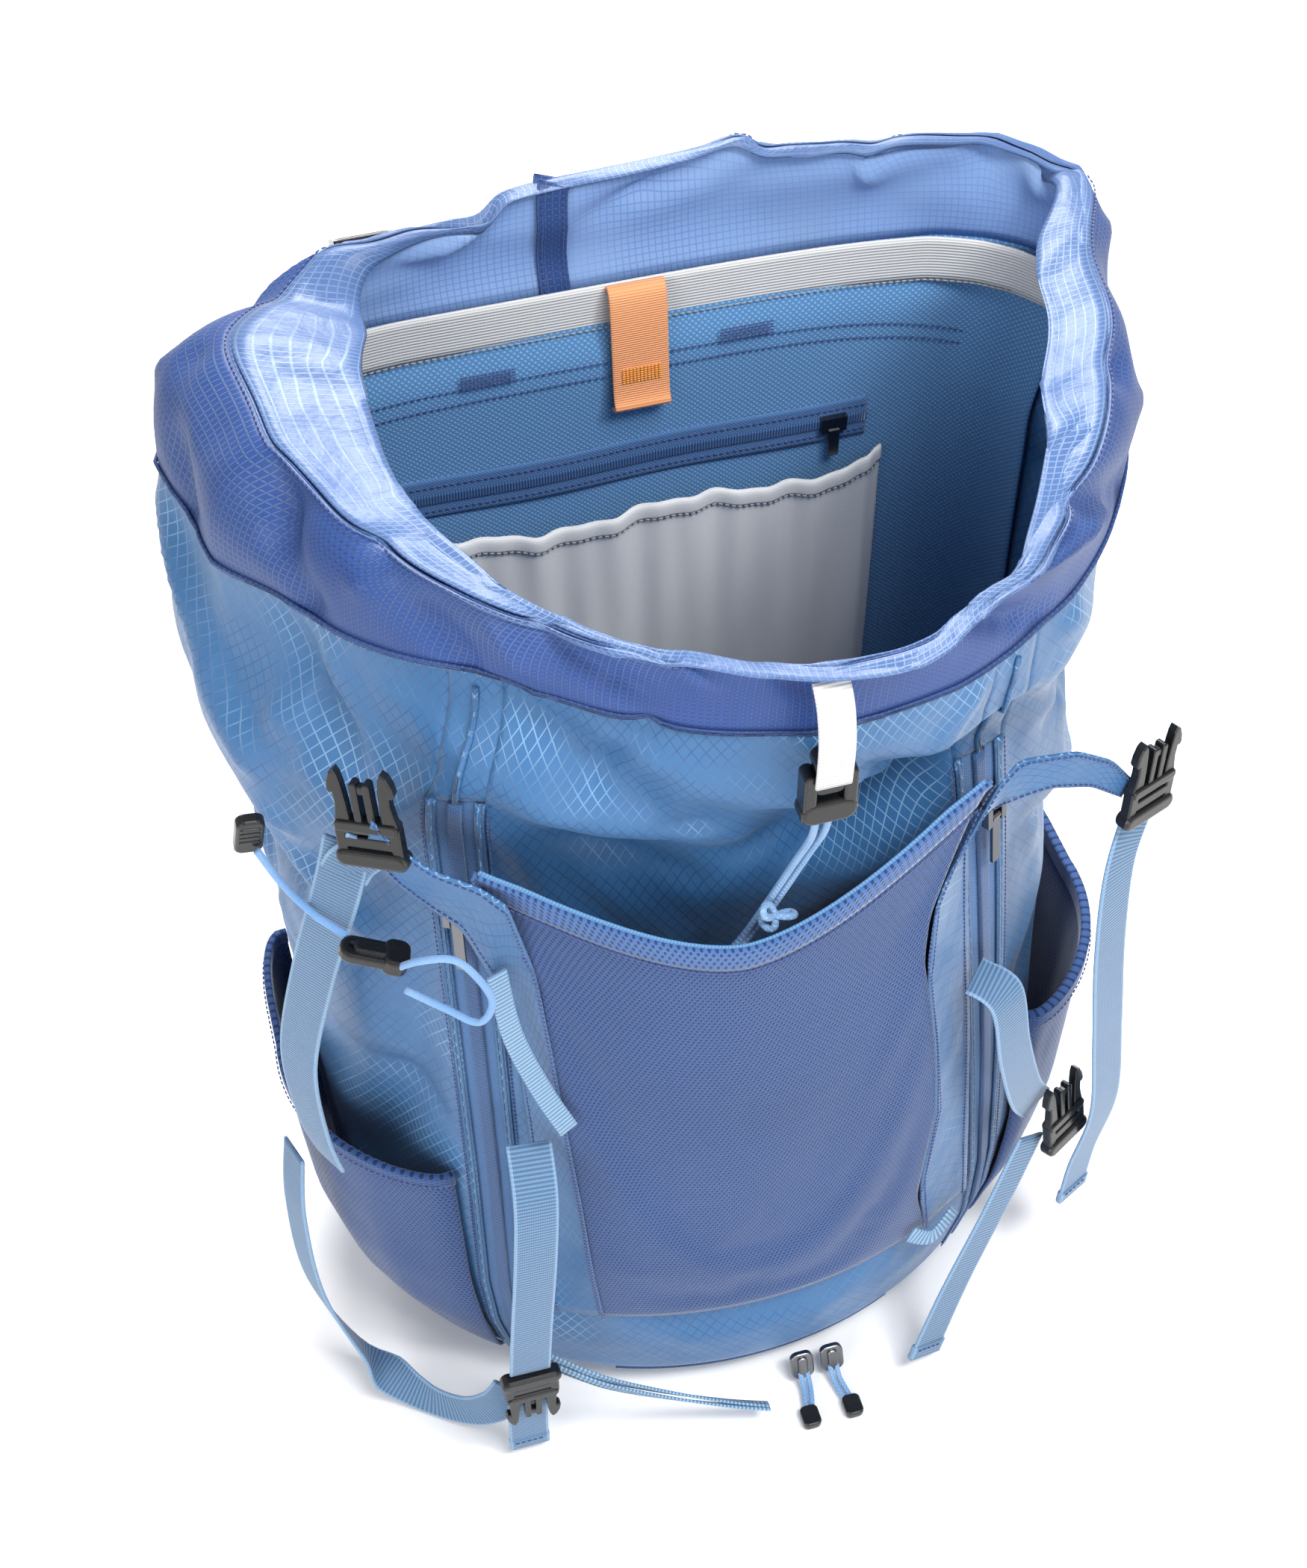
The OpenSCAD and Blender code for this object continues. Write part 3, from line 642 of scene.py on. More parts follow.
# Inside of the collar: a much lighter copy of the skirt's cloth, painted light for the back light
# shining through the thin collar.
SKIRT_INSIDE_PAINTED_LIGHT = square_ripstop("collar_inside_painted_light", rgb(150, 182, 226), rgb(90, 130, 196))
MESH = knit_mesh("stretch_mesh", rgb(50, 80, 132), rgb(12, 24, 60), 2.3)
COARSE_MESH = knit_mesh("coarse_mesh", rgb(72, 106, 160), rgb(18, 32, 72), 3.2)
ZIP_TAPE = basket_weave("zip_tape", rgb(84, 132, 190), 1.2, 0.6)
COIL = ribbed_tape("zip_coil", rgb(74, 118, 178), 1.3, 0.2)
# Lining colour lighter than the cloth's own: painted light for the light that reaches inside the
# mouth.
OXFORD = basket_weave("oxford", rgb(116, 174, 230), 1.9, 0.5)
SLEEVE = twill("sleeve_twill", rgb(232, 232, 232))
GREY_TAPE = ribbed_tape("grey_tape", rgb(226, 226, 224), 1.5, 0.72)
BLUE_TAPE = ribbed_tape("blue_tape", rgb(100, 150, 200), 1.5, 0.66)
ORANGE_TAPE = ribbed_tape("orange_tape", rgb(255, 172, 118), 1.1, 0.82)
WEBBING = ribbed_tape("webbing", rgb(108, 146, 186), 2.0, 0.42, rgb(150, 184, 216))
NARROW_TAPE = ribbed_tape("narrow_tape", rgb(146, 186, 224), 2.2, 0.36)
CORD = braid("cord", rgb(112, 172, 232))
ELASTIC = braid("elastic", rgb(96, 160, 226), 0.72, 1.2)
BLACK = moulded_plastic("black_acetal", rgb(14, 14, 15), 0.24)
METAL = brushed_metal("zip_metal", (0.2, 0.2, 0.21))
STEEL = brushed_metal("frame_steel", (0.55, 0.56, 0.58))
SHEET_PLASTIC = moulded_plastic("frame_plastic", rgb(40, 42, 46), 0.5)
PAD_MESH = knit_mesh("back_mesh", rgb(40, 66, 116), rgb(16, 28, 60), 3.0)
DARK_THREAD = stitch_thread("dark_thread", rgb(28, 58, 124))
GREY_THREAD = stitch_thread("grey_thread", rgb(150, 150, 150))
AMBER_THREAD = stitch_thread("amber_thread", rgb(250, 170, 40))

# ---- Floor ------------------------------------------------------------------------------------


def make_floor():
    look = Look("floor_paper")
    colour = look.colour(look.noise(3, 2), (0.93, 0.93, 0.93), (0.97, 0.97, 0.97))
    material = look.finish(colour, 0.9)
    mesh = bpy.data.meshes.new("floor")
    mesh.from_pydata([(-6, -6, -0.0005), (6, -6, -0.0005), (6, 6, -0.0005), (-6, 6, -0.0005)], [],
                     [(0, 1, 2, 3)])
    mesh.materials.append(material)
    add_object("floor", mesh)


make_floor()

# ---- Buckles, cord lock, hook and pulls -------------------------------------------------------


def half_buckle(node, where):
    """Male half of a side-release buckle: a slotted frame, two rails and two sprung hooks."""
    plates = [([rounded_box(25, 18, 2.6, 0, -9), rounded_box(19.4, 3.4, 1.2, 0, -12.6),
                rounded_box(19.4, 3.2, 1.2, 0, -5.8)], 5.2, 0.9),
              ([rounded_box(26, 4.6, 2.2, 0, -16.8)], 7.6, 1.8),
              ([rounded_box(24, 3.2, 1.2, 0, -1.4)], 6.6, 0.9),
              ([rounded_box(7.2, 2.6, 0.9, 0, 15.6)], 3.6, 0.6)]
    arm = [(7.0, -1), (7.4, 9), (8.0, 17), (8.7, 21.5), (9.6, 23.6), (10.9, 22.6), (12.4, 18.8),
           (12.9, 15.2), (12.4, 14.2), (10.9, 14.4), (10.6, 9), (11.2, 4), (12.2, -1)]
    for side in (-1, 1):
        plates += [([[(x * side, y) for x, y in arm]], 4.4, 0.7),
                   ([rounded_box(1.9, 19, 0.8, 2.7 * side, 9)], 5.0, 0.6)]
    moulded(node + "_piece", plates, where, node)


half_buckle("upper_left_buckle", place(-148, -106, 473, 80, -8, -32))
half_buckle("upper_right_buckle", place(173, -116, 404, 85, 6, 24))
half_buckle("lower_left_buckle", place(-111, -149, 72, -90))
half_buckle("lower_right_buckle", place(166, -118, 158, 80, 0, 30))

moulded("cord_lock_case", [([rounded_box(19, 8, 3.9, 0, -8)], 9.4, 1.8),
                           ([rounded_box(3.4, 19, 1.5, -7.8, 3)], 8.4, 1.0),
                           ([rounded_box(3.4, 19, 1.5, 7.8, 3)], 8.4, 1.0)],
        place(13, -159, 499, 90), "cord_lock_body")
moulded("cord_lock_plunger", [([rounded_box(10.2, 15, 2.4)], 6.8, 0.8),
                              ([rounded_box(11, 6, 2.6, 0, 8.0)], 8.4, 1.2)],
        place(13, -159, 509, 90), "cord_lock_button", body="cord_lock_button")

eye = [(x - 8.6, y) for x, y in round_section(4.2, 16)]
moulded("elastic_hook_piece", [([rounded_box(24, 8.4, 4.0), eye], 5.4, 1.4),
                               ([rounded_box(17, 3.6, 1.6, 1.5, 0)], 8.0, 1.4),
                               ([rounded_box(7.6, 10, 2.4, 9.4, 0)], 8.6, 1.6)],
        place(-154, -114, 403, 0, 20, -15), "elastic_hook")
moulded("elastic_grip", [([rounded_box(9, 20, 2.4, 0, -1.5)], 5.2, 1.2),
                         *[([rounded_box(7, 1.4, 0.5, 0, y)], 6.2, 0.5)
                           for y in (-4.5, -1.5, 1.5, 4.5)]],
        place(-190.5, -75, 445, 100, 8), "elastic_hook")

for x, body in ((32, "base_zip_slider_left"), (48, "base_zip_slider_right")):
    moulded(body + "_piece", [([rounded_box(10.5, 13.5, 3)], 3.6, 0.8),
                              ([rounded_box(3.4, 10, 1.2)], 6.6, 0.8)],
            place(x, -141, 11, 65), body, material=METAL, slot="zip_metal", body=body)
    lean = -3 if x < 40 else 3
    for shift in (-1.7, 1.7):
        swept(f"{body}_cord{'a' if shift < 0 else 'b'}",
              [(x + shift, -144, 8.5), (x + shift, -150, 4.5), (x + shift + lean * 0.5, -158, 3.4),
               (x + shift * 0.9 + lean, -163, 3.4)], round_section(2.8), CORD, "cord",
              body=body)
    tip = plate(body + "_tip", [rounded_box(7.4, 9.5, 1.8)], 4.8, BLACK,
                place(x + lean * 1.1, -166.5, 3.2), 1.0, body)
    finish_piece(tip, "black_acetal")

# ---- Cords and free webbing, on the routes of the CAD part ------------------------------------

DRAWCORD_ROUTE = [(12, -159, 484), (14, -150, 462), (12, -139, 434), (6, -133, 408),
                  (-4, -132, 386), (-14, -133, 374), (-26, -133, 368), (-34, -134, 366)]
UPPER_LEFT_ROUTE = [(-156, -100, 456), (-163, -98, 425), (-176, -88, 365), (-188, -76, 290),
                    (-187, -73, 230), (-182, -76, 203)]
UPPER_RIGHT_ROUTE = [(174, -111, 382), (164, -122, 355), (166, -126, 300), (176, -124, 230),
                     (186, -120, 160), (186, -112, 100), (186, -110, 62)]
LOWER_LEFT_ROUTE = [(-100, -128, 262), (-102, -146, 244), (-105, -151, 200), (-109, -151, 140),
                    (-111, -149, 96)]
LOWER_LEFT_TAIL = [(-112, -144.4, 66), (-113, -144, 34), (-113, -143, 8)]
LEFT_LOOP_ROUTE = [(-197, -44, 170), (-202, -52, 130), (-200, -62, 70), (-182, -82, 26),
                   (-160, -104, 12), (-140, -122, 18), (-126, -132, 36), (-118, -135, 56)]
LOWER_RIGHT_ROUTE = [(104, -122, 300), (116, -132, 292), (124, -134, 250), (138, -126, 200),
                     (157, -106, 152)]
LOWER_RIGHT_TAIL = [(150, -120, 146), (132, -132, 110), (110, -144, 60), (94, -153, 12)]
ELASTIC_ROUTE = [(-189, -78, 436), (-182, -84, 420), (-172, -96, 411), (-162, -106, 407)]
ELASTIC_LOOP_ROUTE = [(-146, -120, 398), (-138, -128, 410), (-126, -132, 412),
                      (-118, -134, 402), (-112, -136, 384), (-118, -136, 372),
                      (-130, -130, 378), (-144, -124, 388)]
AXE_LOOP_ROUTE = [(-98, -136, 74), (-74, -148, 62), (-44, -152, 40), (-14, -156, 22),
                  (8, -160, 14)]
DAISY_ROUTE = [(-108, -128, 390), (-104, -131, 350), (-94, -134, 310), (-84, -137, 280)]
RIGHT_LOOP_ROUTE = [(86, -134, 105), (98, -134, 98), (112, -126, 104)]
HAUL_ROUTE = [(-26, 120.5, 496), (-26, 126, 516), (-14, 131, 528), (14, 131, 528),
              (26, 126, 516), (26, 120.5, 496)]

WEB_WIDTH = 20
WEB = tape_section(WEB_WIDTH, 1.7)
CORD_D = 3.0


def dash_row(name, path, material, pitch=3.0, length=2.1, d=0.75):
    """A row of stitches along a path, each a small rounded bar of thread."""
    run = run_along(path)
    starts = np.arange(0.5, max(run[-1] - length, 0.6), pitch)
    a, b = between(starts, run, path), between(starts + length, run, path)
    along = unit(b - a)
    side = unit(np.cross(along, np.array([0.31, 0.27, 0.91])))
    up = np.cross(along, side)
    angles = np.arange(6) * math.tau / 6
    ring = np.cos(angles)[:, None, None] * side + np.sin(angles)[:, None, None] * up
    stations = [(0.0, 0.15), (0.12, 0.5), (0.88, 0.5), (1.0, 0.15)]
    points = np.stack([mix(a, b, t)[None] + ring * d * r for t, r in stations], 0)
    count = len(a)
    corners = [[(k * 6 + i) * count, (k * 6 + (i + 1) % 6) * count,
                ((k + 1) * 6 + (i + 1) % 6) * count, ((k + 1) * 6 + i) * count]
               for k in range(len(stations) - 1) for i in range(6)]
    corners.append([i * count for i in range(5, -1, -1)])
    corners.append([((len(stations) - 1) * 6 + i) * count for i in range(6)])
    faces = [[q + s for q in corner] for corner in corners for s in range(count)]
    return finish_piece(build(name, points, faces, None, material), "cord")


def sewn_end(name, route, across, length=9.0):
    """The doubled, stitched end of a strap, on the last stretch of its route."""
    path = curve(route, 8)
    run = run_along(path)
    stretch = between(np.linspace(run[-1] - length, run[-1], 5), run, path)
    points, faces, uv = sweep_mesh(stretch, tape_section(20.6, 3.4), across)
    end = build(name, points, faces, uv, WEBBING)
    along = unit(stretch[-1] - stretch[0])
    side = unit(np.array(across, float) - along * (np.array(across, float) @ along))
    out = np.cross(along, side)
    rows = []
    for i, face in enumerate((1, -1)):
        seam = [stretch[1] + side * x + out * face * 1.9 for x in np.linspace(-8, 8, 17)]
        rows.append(dash_row(f"{name}_stitches_{i}", np.array(seam), DARK_THREAD))
    finish_piece(end, "webbing")
    return [end, *rows]


def free_strap(name, route, first, last, far_end, node):
    """A strap that hangs free. A bare end is sewn over."""
    strap = swept(name, route, WEB, WEBBING, "webbing", node, first=first, last=last)
    extra = sewn_end(name + "_end", route, last) if far_end == "bare" else []


def overhand_knot(name, centre, size):
    """Two cords tied together in an overhand knot."""
    turns = []
    for i in range(40):
        t = math.tau * i / 39
        x = size * (math.sin(t) + 1.1 * math.sin(2 * t)) * 0.75
        y = size * 0.55 * math.sin(3 * t)
        z = size * (math.cos(t) - 1.1 * math.cos(2 * t)) * 0.6
        turns.append((centre[0] + 0.8 * x + 0.5 * z, centre[1] + 0.7 * y - 1.5,
                      centre[2] + 0.7 * z - 0.5 * x))
    points, faces, uv = sweep_mesh(np.array(turns), round_section(CORD_D), (0.2, 1, 0.1))
    return finish_piece(build(name, points, faces, uv, CORD), "cord")


knot = overhand_knot("drawcord_knot", (3, -137, 401), 6.0)
for side, name in ((-1, "drawcord_left"), (1, "drawcord_right")):
    route = [(x + 2.6 * side, y, z + 1.4 * side) for x, y, z in DRAWCORD_ROUTE]
    tail = swept(name, route, round_section(CORD_D), CORD, "cord", "drawcord", first=(1, 0.3, 0.2))

elastic_run, elastic_loop = (
    swept(name, route, round_section(3.1), ELASTIC, "cord", "elastic_cord", first=(1, 0.3, 0.2))
    for name, route in (("elastic_run", ELASTIC_ROUTE), ("elastic_loop", ELASTIC_LOOP_ROUTE)))

free_strap("upper_right_webbing", UPPER_RIGHT_ROUTE, (1, 0.5, 0), (1, 0.5, 0), "bare",
           "upper_right_strap")
free_strap("lower_left_webbing", LOWER_LEFT_ROUTE, (1, 0, 0), (1, 0, 0), "fitting",
           "lower_left_strap")
swept("lower_left_tail", LOWER_LEFT_TAIL, WEB, WEBBING, "webbing", "lower_left_strap")
sewn_end("lower_left_tail_end", LOWER_LEFT_TAIL, (1, 0, 0))
free_strap("left_loop_webbing", LEFT_LOOP_ROUTE, (0.3, -1, 0.2), (0.3, -0.2, -1), "object",
           "left_loop_strap")
free_strap("lower_right_webbing", LOWER_RIGHT_ROUTE, (1, 0.5, 0), (1, 0.5, 0.2),
           "fitting", "lower_right_strap")
free_strap("lower_right_tail", LOWER_RIGHT_TAIL, (1, 0.5, 0.2), (1, 0.3, 0), "bare",
           "lower_right_strap")
swept("upper_left_webbing", UPPER_LEFT_ROUTE, WEB, WEBBING, "webbing", "upper_left_strap",
      first=(1, -0.6, 0), last=(0.5, -1, 0))
swept("upper_left_turn", [(-148, -109, 464), (-151, -106, 455), (-156, -102, 446),
                          (-159, -100, 438)], WEB, WEBBING, "webbing", first=(1, -0.6, 0))
for offset, part in ((-2.4, "back"), (2.4, "front")):
    route = [(x, y + 0.4 * offset, z + offset * (1 - i / 4))
             for i, (x, y, z) in enumerate(AXE_LOOP_ROUTE)]
    band = swept("axe_loop_" + part, route, tape_section(4.6, 1.5), NARROW_TAPE, "webbing",
                 "webbing_loops", first=(0.3, 0.2, 1), last=(0.5, -1, 0.3))
swept("gear_strip", DAISY_ROUTE, tape_section(9, 1.6), NARROW_TAPE, "webbing", "webbing_loops",
      first=(1, 0.3, 0))
swept("right_gear_loop", RIGHT_LOOP_ROUTE, tape_section(9, 1.6), NARROW_TAPE, "webbing",
      "webbing_loops", first=(0, 0.2, 1))
swept("haul_loop_webbing", HAUL_ROUTE, tape_section(15, 1.8), WEBBING, "webbing", "haul_loop",
      first=(0, 1, 0.4))

# ---- Bag cloth: folds by cloth simulation -----------------------------------------------------

SEGMENTS = [(18, 162, 66), (162, "left-", 30), ("left-", "left+", 4), ("left+", "right-", 38),
            ("right-", "right+", 4), ("right+", 378, 30)]
COLLAR_ROWS, STITCH_ROW = 12, 8
# Seam and mouth of the collar: (angle, share of the outline) and (angle, height)
SEAM_SHARE = [(0, 0.98), (13, 1.08), (30, 1.04), (90, 1.0), (150, 1.0), (158, 1.02), (170, 1.0),
              (180, 0.95), (190, 0.87), (214, 0.86), (230, 0.85), (246, 0.9), (262, 0.99),
              (274, 1.05), (290, 1.05), (305, 1.0), (326, 0.96), (345, 0.95), (360, 0.98)]
MOUTH_SHARE = [(0, 1.04), (6, 1.14), (14, 1.36), (22, 1.34), (36, 1.18), (57, 1.04), (75, 0.99),
               (90, 1.06), (98, 1.02), (107, 1.0), (121, 0.9), (140, 0.76), (160, 0.75),
               (180, 0.76), (199, 0.77), (215, 0.78), (237, 0.85), (252, 0.89), (268, 0.97),
               (285, 1.07), (294, 1.06), (309, 1.0), (325, 0.96), (345, 0.93), (360, 1.04)]
SEAM_HEIGHT = [(0, 512), (60, 520), (100, 524), (150, 512), (175, 515), (200, 528), (235, 530),
               (262, 520), (300, 515), (360, 512)]
MOUTH_HEIGHT = [(0, 562), (14, 556), (36, 562), (57, 570), (75, 572), (88, 579), (93, 571),
                (107, 557), (125, 550), (150, 556), (180, 562), (215, 563), (255, 560),
                (275, 558), (300, 560), (330, 564), (360, 562)]
# Broad folds and hollows: (angle, height, half angle, half height, how far out in mm)
FOLDS = [
    (176, 440, 16, 28, 12), (180, 366, 20, 28, -17), (200, 420, 12, 45, 6),
    (350, 448, 24, 46, -25), (346, 380, 18, 30, -8), (352, 300, 18, 40, -6),
    (262, 470, 16, 18, 7), (276, 424, 12, 16, -13), (289, 436, 7, 40, -17),
    (254, 420, 7, 46, -9), (284, 475, 9, 16, 8), (242, 486, 7, 26, 7),
    (216, 470, 8, 30, -9), (316, 470, 9, 30, 8), (330, 380, 8, 50, 5),
    (207, 300, 10, 46, 6), (212, 230, 8, 30, -4)]


def column_angle(mark, z):
    if isinstance(mark, str):
        table = LEFT_ZIP_AT if mark.startswith("left") else RIGHT_ZIP_AT
        return lookup(z, table) + (ZIP_HALF if mark.endswith("+") else -ZIP_HALF)
    return mark


def even_angles(z):
    """Outline angles of the skin's columns at one height, evenly spaced within each segment."""
    out = []
    for first, last, count in SEGMENTS:
        fine = np.linspace(column_angle(first, z), column_angle(last, z), 900)
        run = run_along(outline(fine, z))
        out.append(np.interp(np.linspace(0, run[-1], count + 1)[:-1], run, fine))
    return np.concatenate(out)


COLUMN = {}
COLUMNS = 0
for first, _, count in SEGMENTS:
    COLUMN[first] = COLUMNS
    COLUMNS += count


def about(table, angles):
    """Values of a table at angles round the bag, with their corners smoothed."""
    values = lookup(angles % 360, table)
    for _ in range(3):
        values = 0.25 * np.roll(values, 1) + 0.5 * values + 0.25 * np.roll(values, -1)
    return values


def scaled(angles, z_of, share, height):
    """The outline at a height, scaled about its middle and moved to new heights."""
    base = outline(angles, z_of)
    lean = lookup(z_of, LEAN_AT)
    return np.stack([lean + (base[:, 0] - lean) * share, base[:, 1] * share, height], -1)


def bag_skin():
    """Rows of points of the bag's cloth from the base to the mouth, before it is simulated."""
    levels = np.concatenate([np.linspace(0, STRAIGHT_TOP, 62), np.linspace(447, SEAM, 11)])
    top_angles = even_angles(STRAIGHT_TOP)
    seam, mouth = (scaled(top_angles, z, about(share, top_angles), about(height, top_angles))
                   for z, share, height in ((SEAM, SEAM_SHARE, SEAM_HEIGHT),
                                            (CREST, MOUTH_SHARE, MOUTH_HEIGHT)))
    rows, angle_rows = [], []
    for z in levels:
        angles = even_angles(min(z, STRAIGHT_TOP))
        push = np.zeros(COLUMNS)
        for a, h, da, dz, out in FOLDS:
            push += out * np.exp(-(((angles + 360) % 360 - a) / da) ** 2 - ((z - h) / dz) ** 2)
        free = 1.0
        for zip_table in (LEFT_ZIP_AT, RIGHT_ZIP_AT):
            free = free * smooth((np.abs(angles - lookup(z, zip_table)) - ZIP_HALF) / 4)
        push *= mix(free, 1.0, smooth((z - 425) / 40))
        row = outline(angles, z, push)
        if z > STRAIGHT_TOP:
            t = float(smooth((z - STRAIGHT_TOP) / (SEAM - STRAIGHT_TOP)))
            row = mix(row, seam + (row - outline(angles, z)) * (1 - t), t)
            row[:, 2] = STRAIGHT_TOP + (about(SEAM_HEIGHT, angles) - STRAIGHT_TOP) * (
                z - STRAIGHT_TOP) / (SEAM - STRAIGHT_TOP)
        rows.append(row)
        angle_rows.append(angles)
    reach = np.linalg.norm((seam - mouth)[:, :2], axis=1)
    turn = seam * np.array([1.03, 1.03, 0])
    turn[:, 2] = mouth[:, 2] + 6 + 0.35 * reach
    for t in np.arange(1, COLLAR_ROWS + 1) / COLLAR_ROWS:
        rows.append((1 - t) ** 2 * seam + 2 * t * (1 - t) * turn + t * t * mouth)
        angle_rows.append(top_angles)
    heights = np.concatenate([levels, SEAM + (CREST - SEAM) * np.arange(1, COLLAR_ROWS + 1)
                              / COLLAR_ROWS])
    return np.array(rows), np.array(angle_rows), heights, len(levels) - 1


# Sharp creases: ((angle, height), (angle, height), half width, how far out).
# CREASE_DEPTH multiplies how far out.
CREASES = [
    ((168, 500), (196, 440), 7, 6), ((172, 470), (205, 455), 6, -5), ((165, 440), (200, 410), 7, 7),
    ((170, 405), (205, 380), 7, -6), ((185, 395), (214, 352), 7, 5), ((170, 350), (205, 330), 8, -5),
    ((195, 510), (222, 455), 6, -5), ((208, 500), (226, 430), 6, 5), ((180, 300), (215, 270), 9, 5),
    ((190, 260), (222, 235), 7, -4), ((200, 470), (222, 400), 6, 4), ((166, 300), (190, 250), 9, 4),
    ((238, 505), (262, 455), 7, -6), ((250, 500), (275, 470), 7, 5), ((240, 470), (268, 430), 8, 6),
    ((262, 470), (290, 440), 7, -7), ((272, 505), (296, 470), 6, 6), ((280, 480), (296, 430), 6, -7),
    ((245, 440), (262, 405), 6, -5), ((285, 450), (270, 410), 7, 5), ((255, 515), (248, 480), 5, -4),
    ((292, 500), (285, 460), 5, 4), ((310, 500), (335, 450), 7, 6), ((318, 470), (345, 430), 7, -6),
    ((330, 500), (355, 455), 6, -5), ((340, 440), (372, 420), 7, 6), ((320, 420), (350, 380), 8, -6),
    ((312, 380), (340, 340), 7, 5), ((325, 330), (350, 300), 8, -5), ((308, 450), (330, 400), 6, 4),
    ((160, 540), (178, 520), 6, -6), ((170, 560), (190, 530), 5, 5), ((186, 545), (205, 518), 6, -7),
    ((196, 562), (214, 530), 5, 6), ((208, 548), (232, 520), 6, -6), ((224, 560), (240, 525), 5, 5),
    ((238, 548), (256, 522), 5, -5), ((252, 560), (262, 530), 4, 4), ((268, 552), (276, 525), 4, -4),
    ((284, 556), (276, 528), 4, 3), ((290, 548), (304, 520), 5, -5), ((304, 560), (318, 528), 5, 6),
    ((316, 548), (334, 520), 6, -6), ((332, 560), (346, 524), 5, 6), ((344, 546), (362, 520), 5, -6),
    ((362, 560), (372, 530), 5, 5), ((20, 565), (30, 530), 5, -6), ((36, 560), (50, 530), 5, 5),
    ((60, 562), (72, 530), 5, -5), ((84, 566), (90, 530), 4, 5), ((93, 565), (97, 535), 4, -6),
    ((108, 556), (120, 526), 5, 5), ((124, 556), (136, 526), 5, -5), ((140, 560), (152, 526), 5, 6)]
CREASE_DEPTH = 2.5


def creased(points, angles, heights):
    """Presses the sharp creases into the skin, away from its zips."""
    def at(angle, height):
        row = nearest(heights, height)
        return points[row, nearest((angles[row] - angle + 180) % 360 - 180, 0)]

    push = np.zeros(points.shape[:2])
    for start, end, width, depth in CREASES:
        a, b = at(*start), at(*end)
        t = ((points - a) @ (b - a)) / ((b - a) @ (b - a))
        near = np.clip(t, 0, 1)
        away = np.linalg.norm(points - (a + near[..., None] * (b - a)), axis=2)
        fade = np.sin(math.pi * (0.08 + 0.84 * near)) ** 0.6
        push += depth * np.exp(-(away / (0.8 * width)) ** 1.25) * fade
    free = np.ones(points.shape[:2])
    for name in ("left-", "right-"):
        gap = np.abs(np.arange(COLUMNS) - COLUMN[name] - 2) - 2
        free = np.minimum(free, smooth(gap / 4)[None, :])
    push *= CREASE_DEPTH
    push *= np.where(heights[:, None] < 470, free, 1.0) * (heights[:, None] > 60)
    rise = np.where(heights[:, None] > SEAM, 0.7, 0.0)
    return points + (unit(points * FLAT) + rise[..., None] * UP) * push[..., None]


def run_cloth(obj, frames, gravity, **settings):
    """Cloth simulation of a piece, played to its last frame."""
    sim = obj.modifiers.new("cloth", "CLOTH")
    for key, value in settings.items():
        setattr(sim.settings, key, value)
    sim.settings.effector_weights.gravity = gravity
    sim.point_cache.frame_start, sim.point_cache.frame_end = 1, frames
    for number in range(1, frames + 1):
        bpy.context.scene.frame_set(number)


def limited(moved, most):
    """Moves of points, none of them further than most."""
    far = np.linalg.norm(moved, axis=-1, keepdims=True)
    return moved * np.minimum(1, most / np.maximum(far, 1e-9))


def simulate(points, pins, slack, frames, cap):
    """Where the cloth's points go when it is a little larger than the space it hangs in.

    The last column is joined to the first. Round the bag that is right. For the pockets and
    wings it adds a sheet between their two sides that they don't have."""
    obj = add_object("simulated", raw_mesh("simulated", points,
                                           grid_faces(*points.shape[:2], wrapped=True)))
    for name, weights in (("pins", pins), ("slack", slack)):
        group = obj.vertex_groups.new(name=name)
        for i, weight in enumerate(weights.ravel().tolist()):
            group.add([i], weight, "REPLACE")
    run_cloth(obj, frames, 0.25, quality=5, mass=0.12, tension_stiffness=12,
              compression_stiffness=12, shear_stiffness=4, bending_stiffness=0.35,
              tension_damping=8, compression_damping=8, air_damping=2,
              vertex_group_mass="pins", pin_stiffness=1, vertex_group_shrink="slack",
              shrink_min=0.0, shrink_max=-0.10)
    graph = bpy.context.evaluated_depsgraph_get()
    settled = coordinates(obj.evaluated_get(graph).to_mesh())
    bpy.data.objects.remove(obj)
    bpy.context.scene.frame_set(1)
    return points + limited(settled.reshape(points.shape) / MM - points, cap)


skin, skin_angles, skin_heights, seam_row = bag_skin()
# From 0 to 1: how firmly each point of the skin is held, and how much spare cloth it has.
# The base, the zips and the back behind the frame are held, and the collar is the loosest.
BASE_EDGE = 24
pins = np.full(skin.shape[:2], 0.02)
slack = np.full(skin.shape[:2], 0.3)
pins[skin[..., 2] < BASE_EDGE] = 1
for name in ("left-", "right-"):
    pins[:seam_row - 8, COLUMN[name]:COLUMN[name] + 5] = 1
for seam in (18, 162):
    pins[:, COLUMN[seam]] = np.maximum(pins[:, COLUMN[seam]], 0.6)
pins[:seam_row, 1:COLUMN[162]] = 0.5
pins[:seam_row - 6, 8:59] = 1
pins[seam_row] = 0.3
pins[seam_row + STITCH_ROW] = 0.3
pins[-1] = 0.55
slack[seam_row + 1:] = 0.75
slack[seam_row - 14:seam_row + 1] = 0.45
under_pocket = (skin[..., 2] < 380) & (skin_angles > 243) & (skin_angles < 297)
slack[under_pocket] = 0.1
skin = simulate(skin, pins, slack, frames=26, cap=15)
skin = creased(skin, skin_angles, skin_heights)


def columns(first, last, from_row=0, to_row=None):
    """The skin's points between two column marks, the second included."""
    start = COLUMN[first]
    end = COLUMN[last] + (COLUMNS if COLUMN[last] <= start else 0)
    return skin[from_row:to_row][:, np.arange(start, end + 1) % COLUMNS]


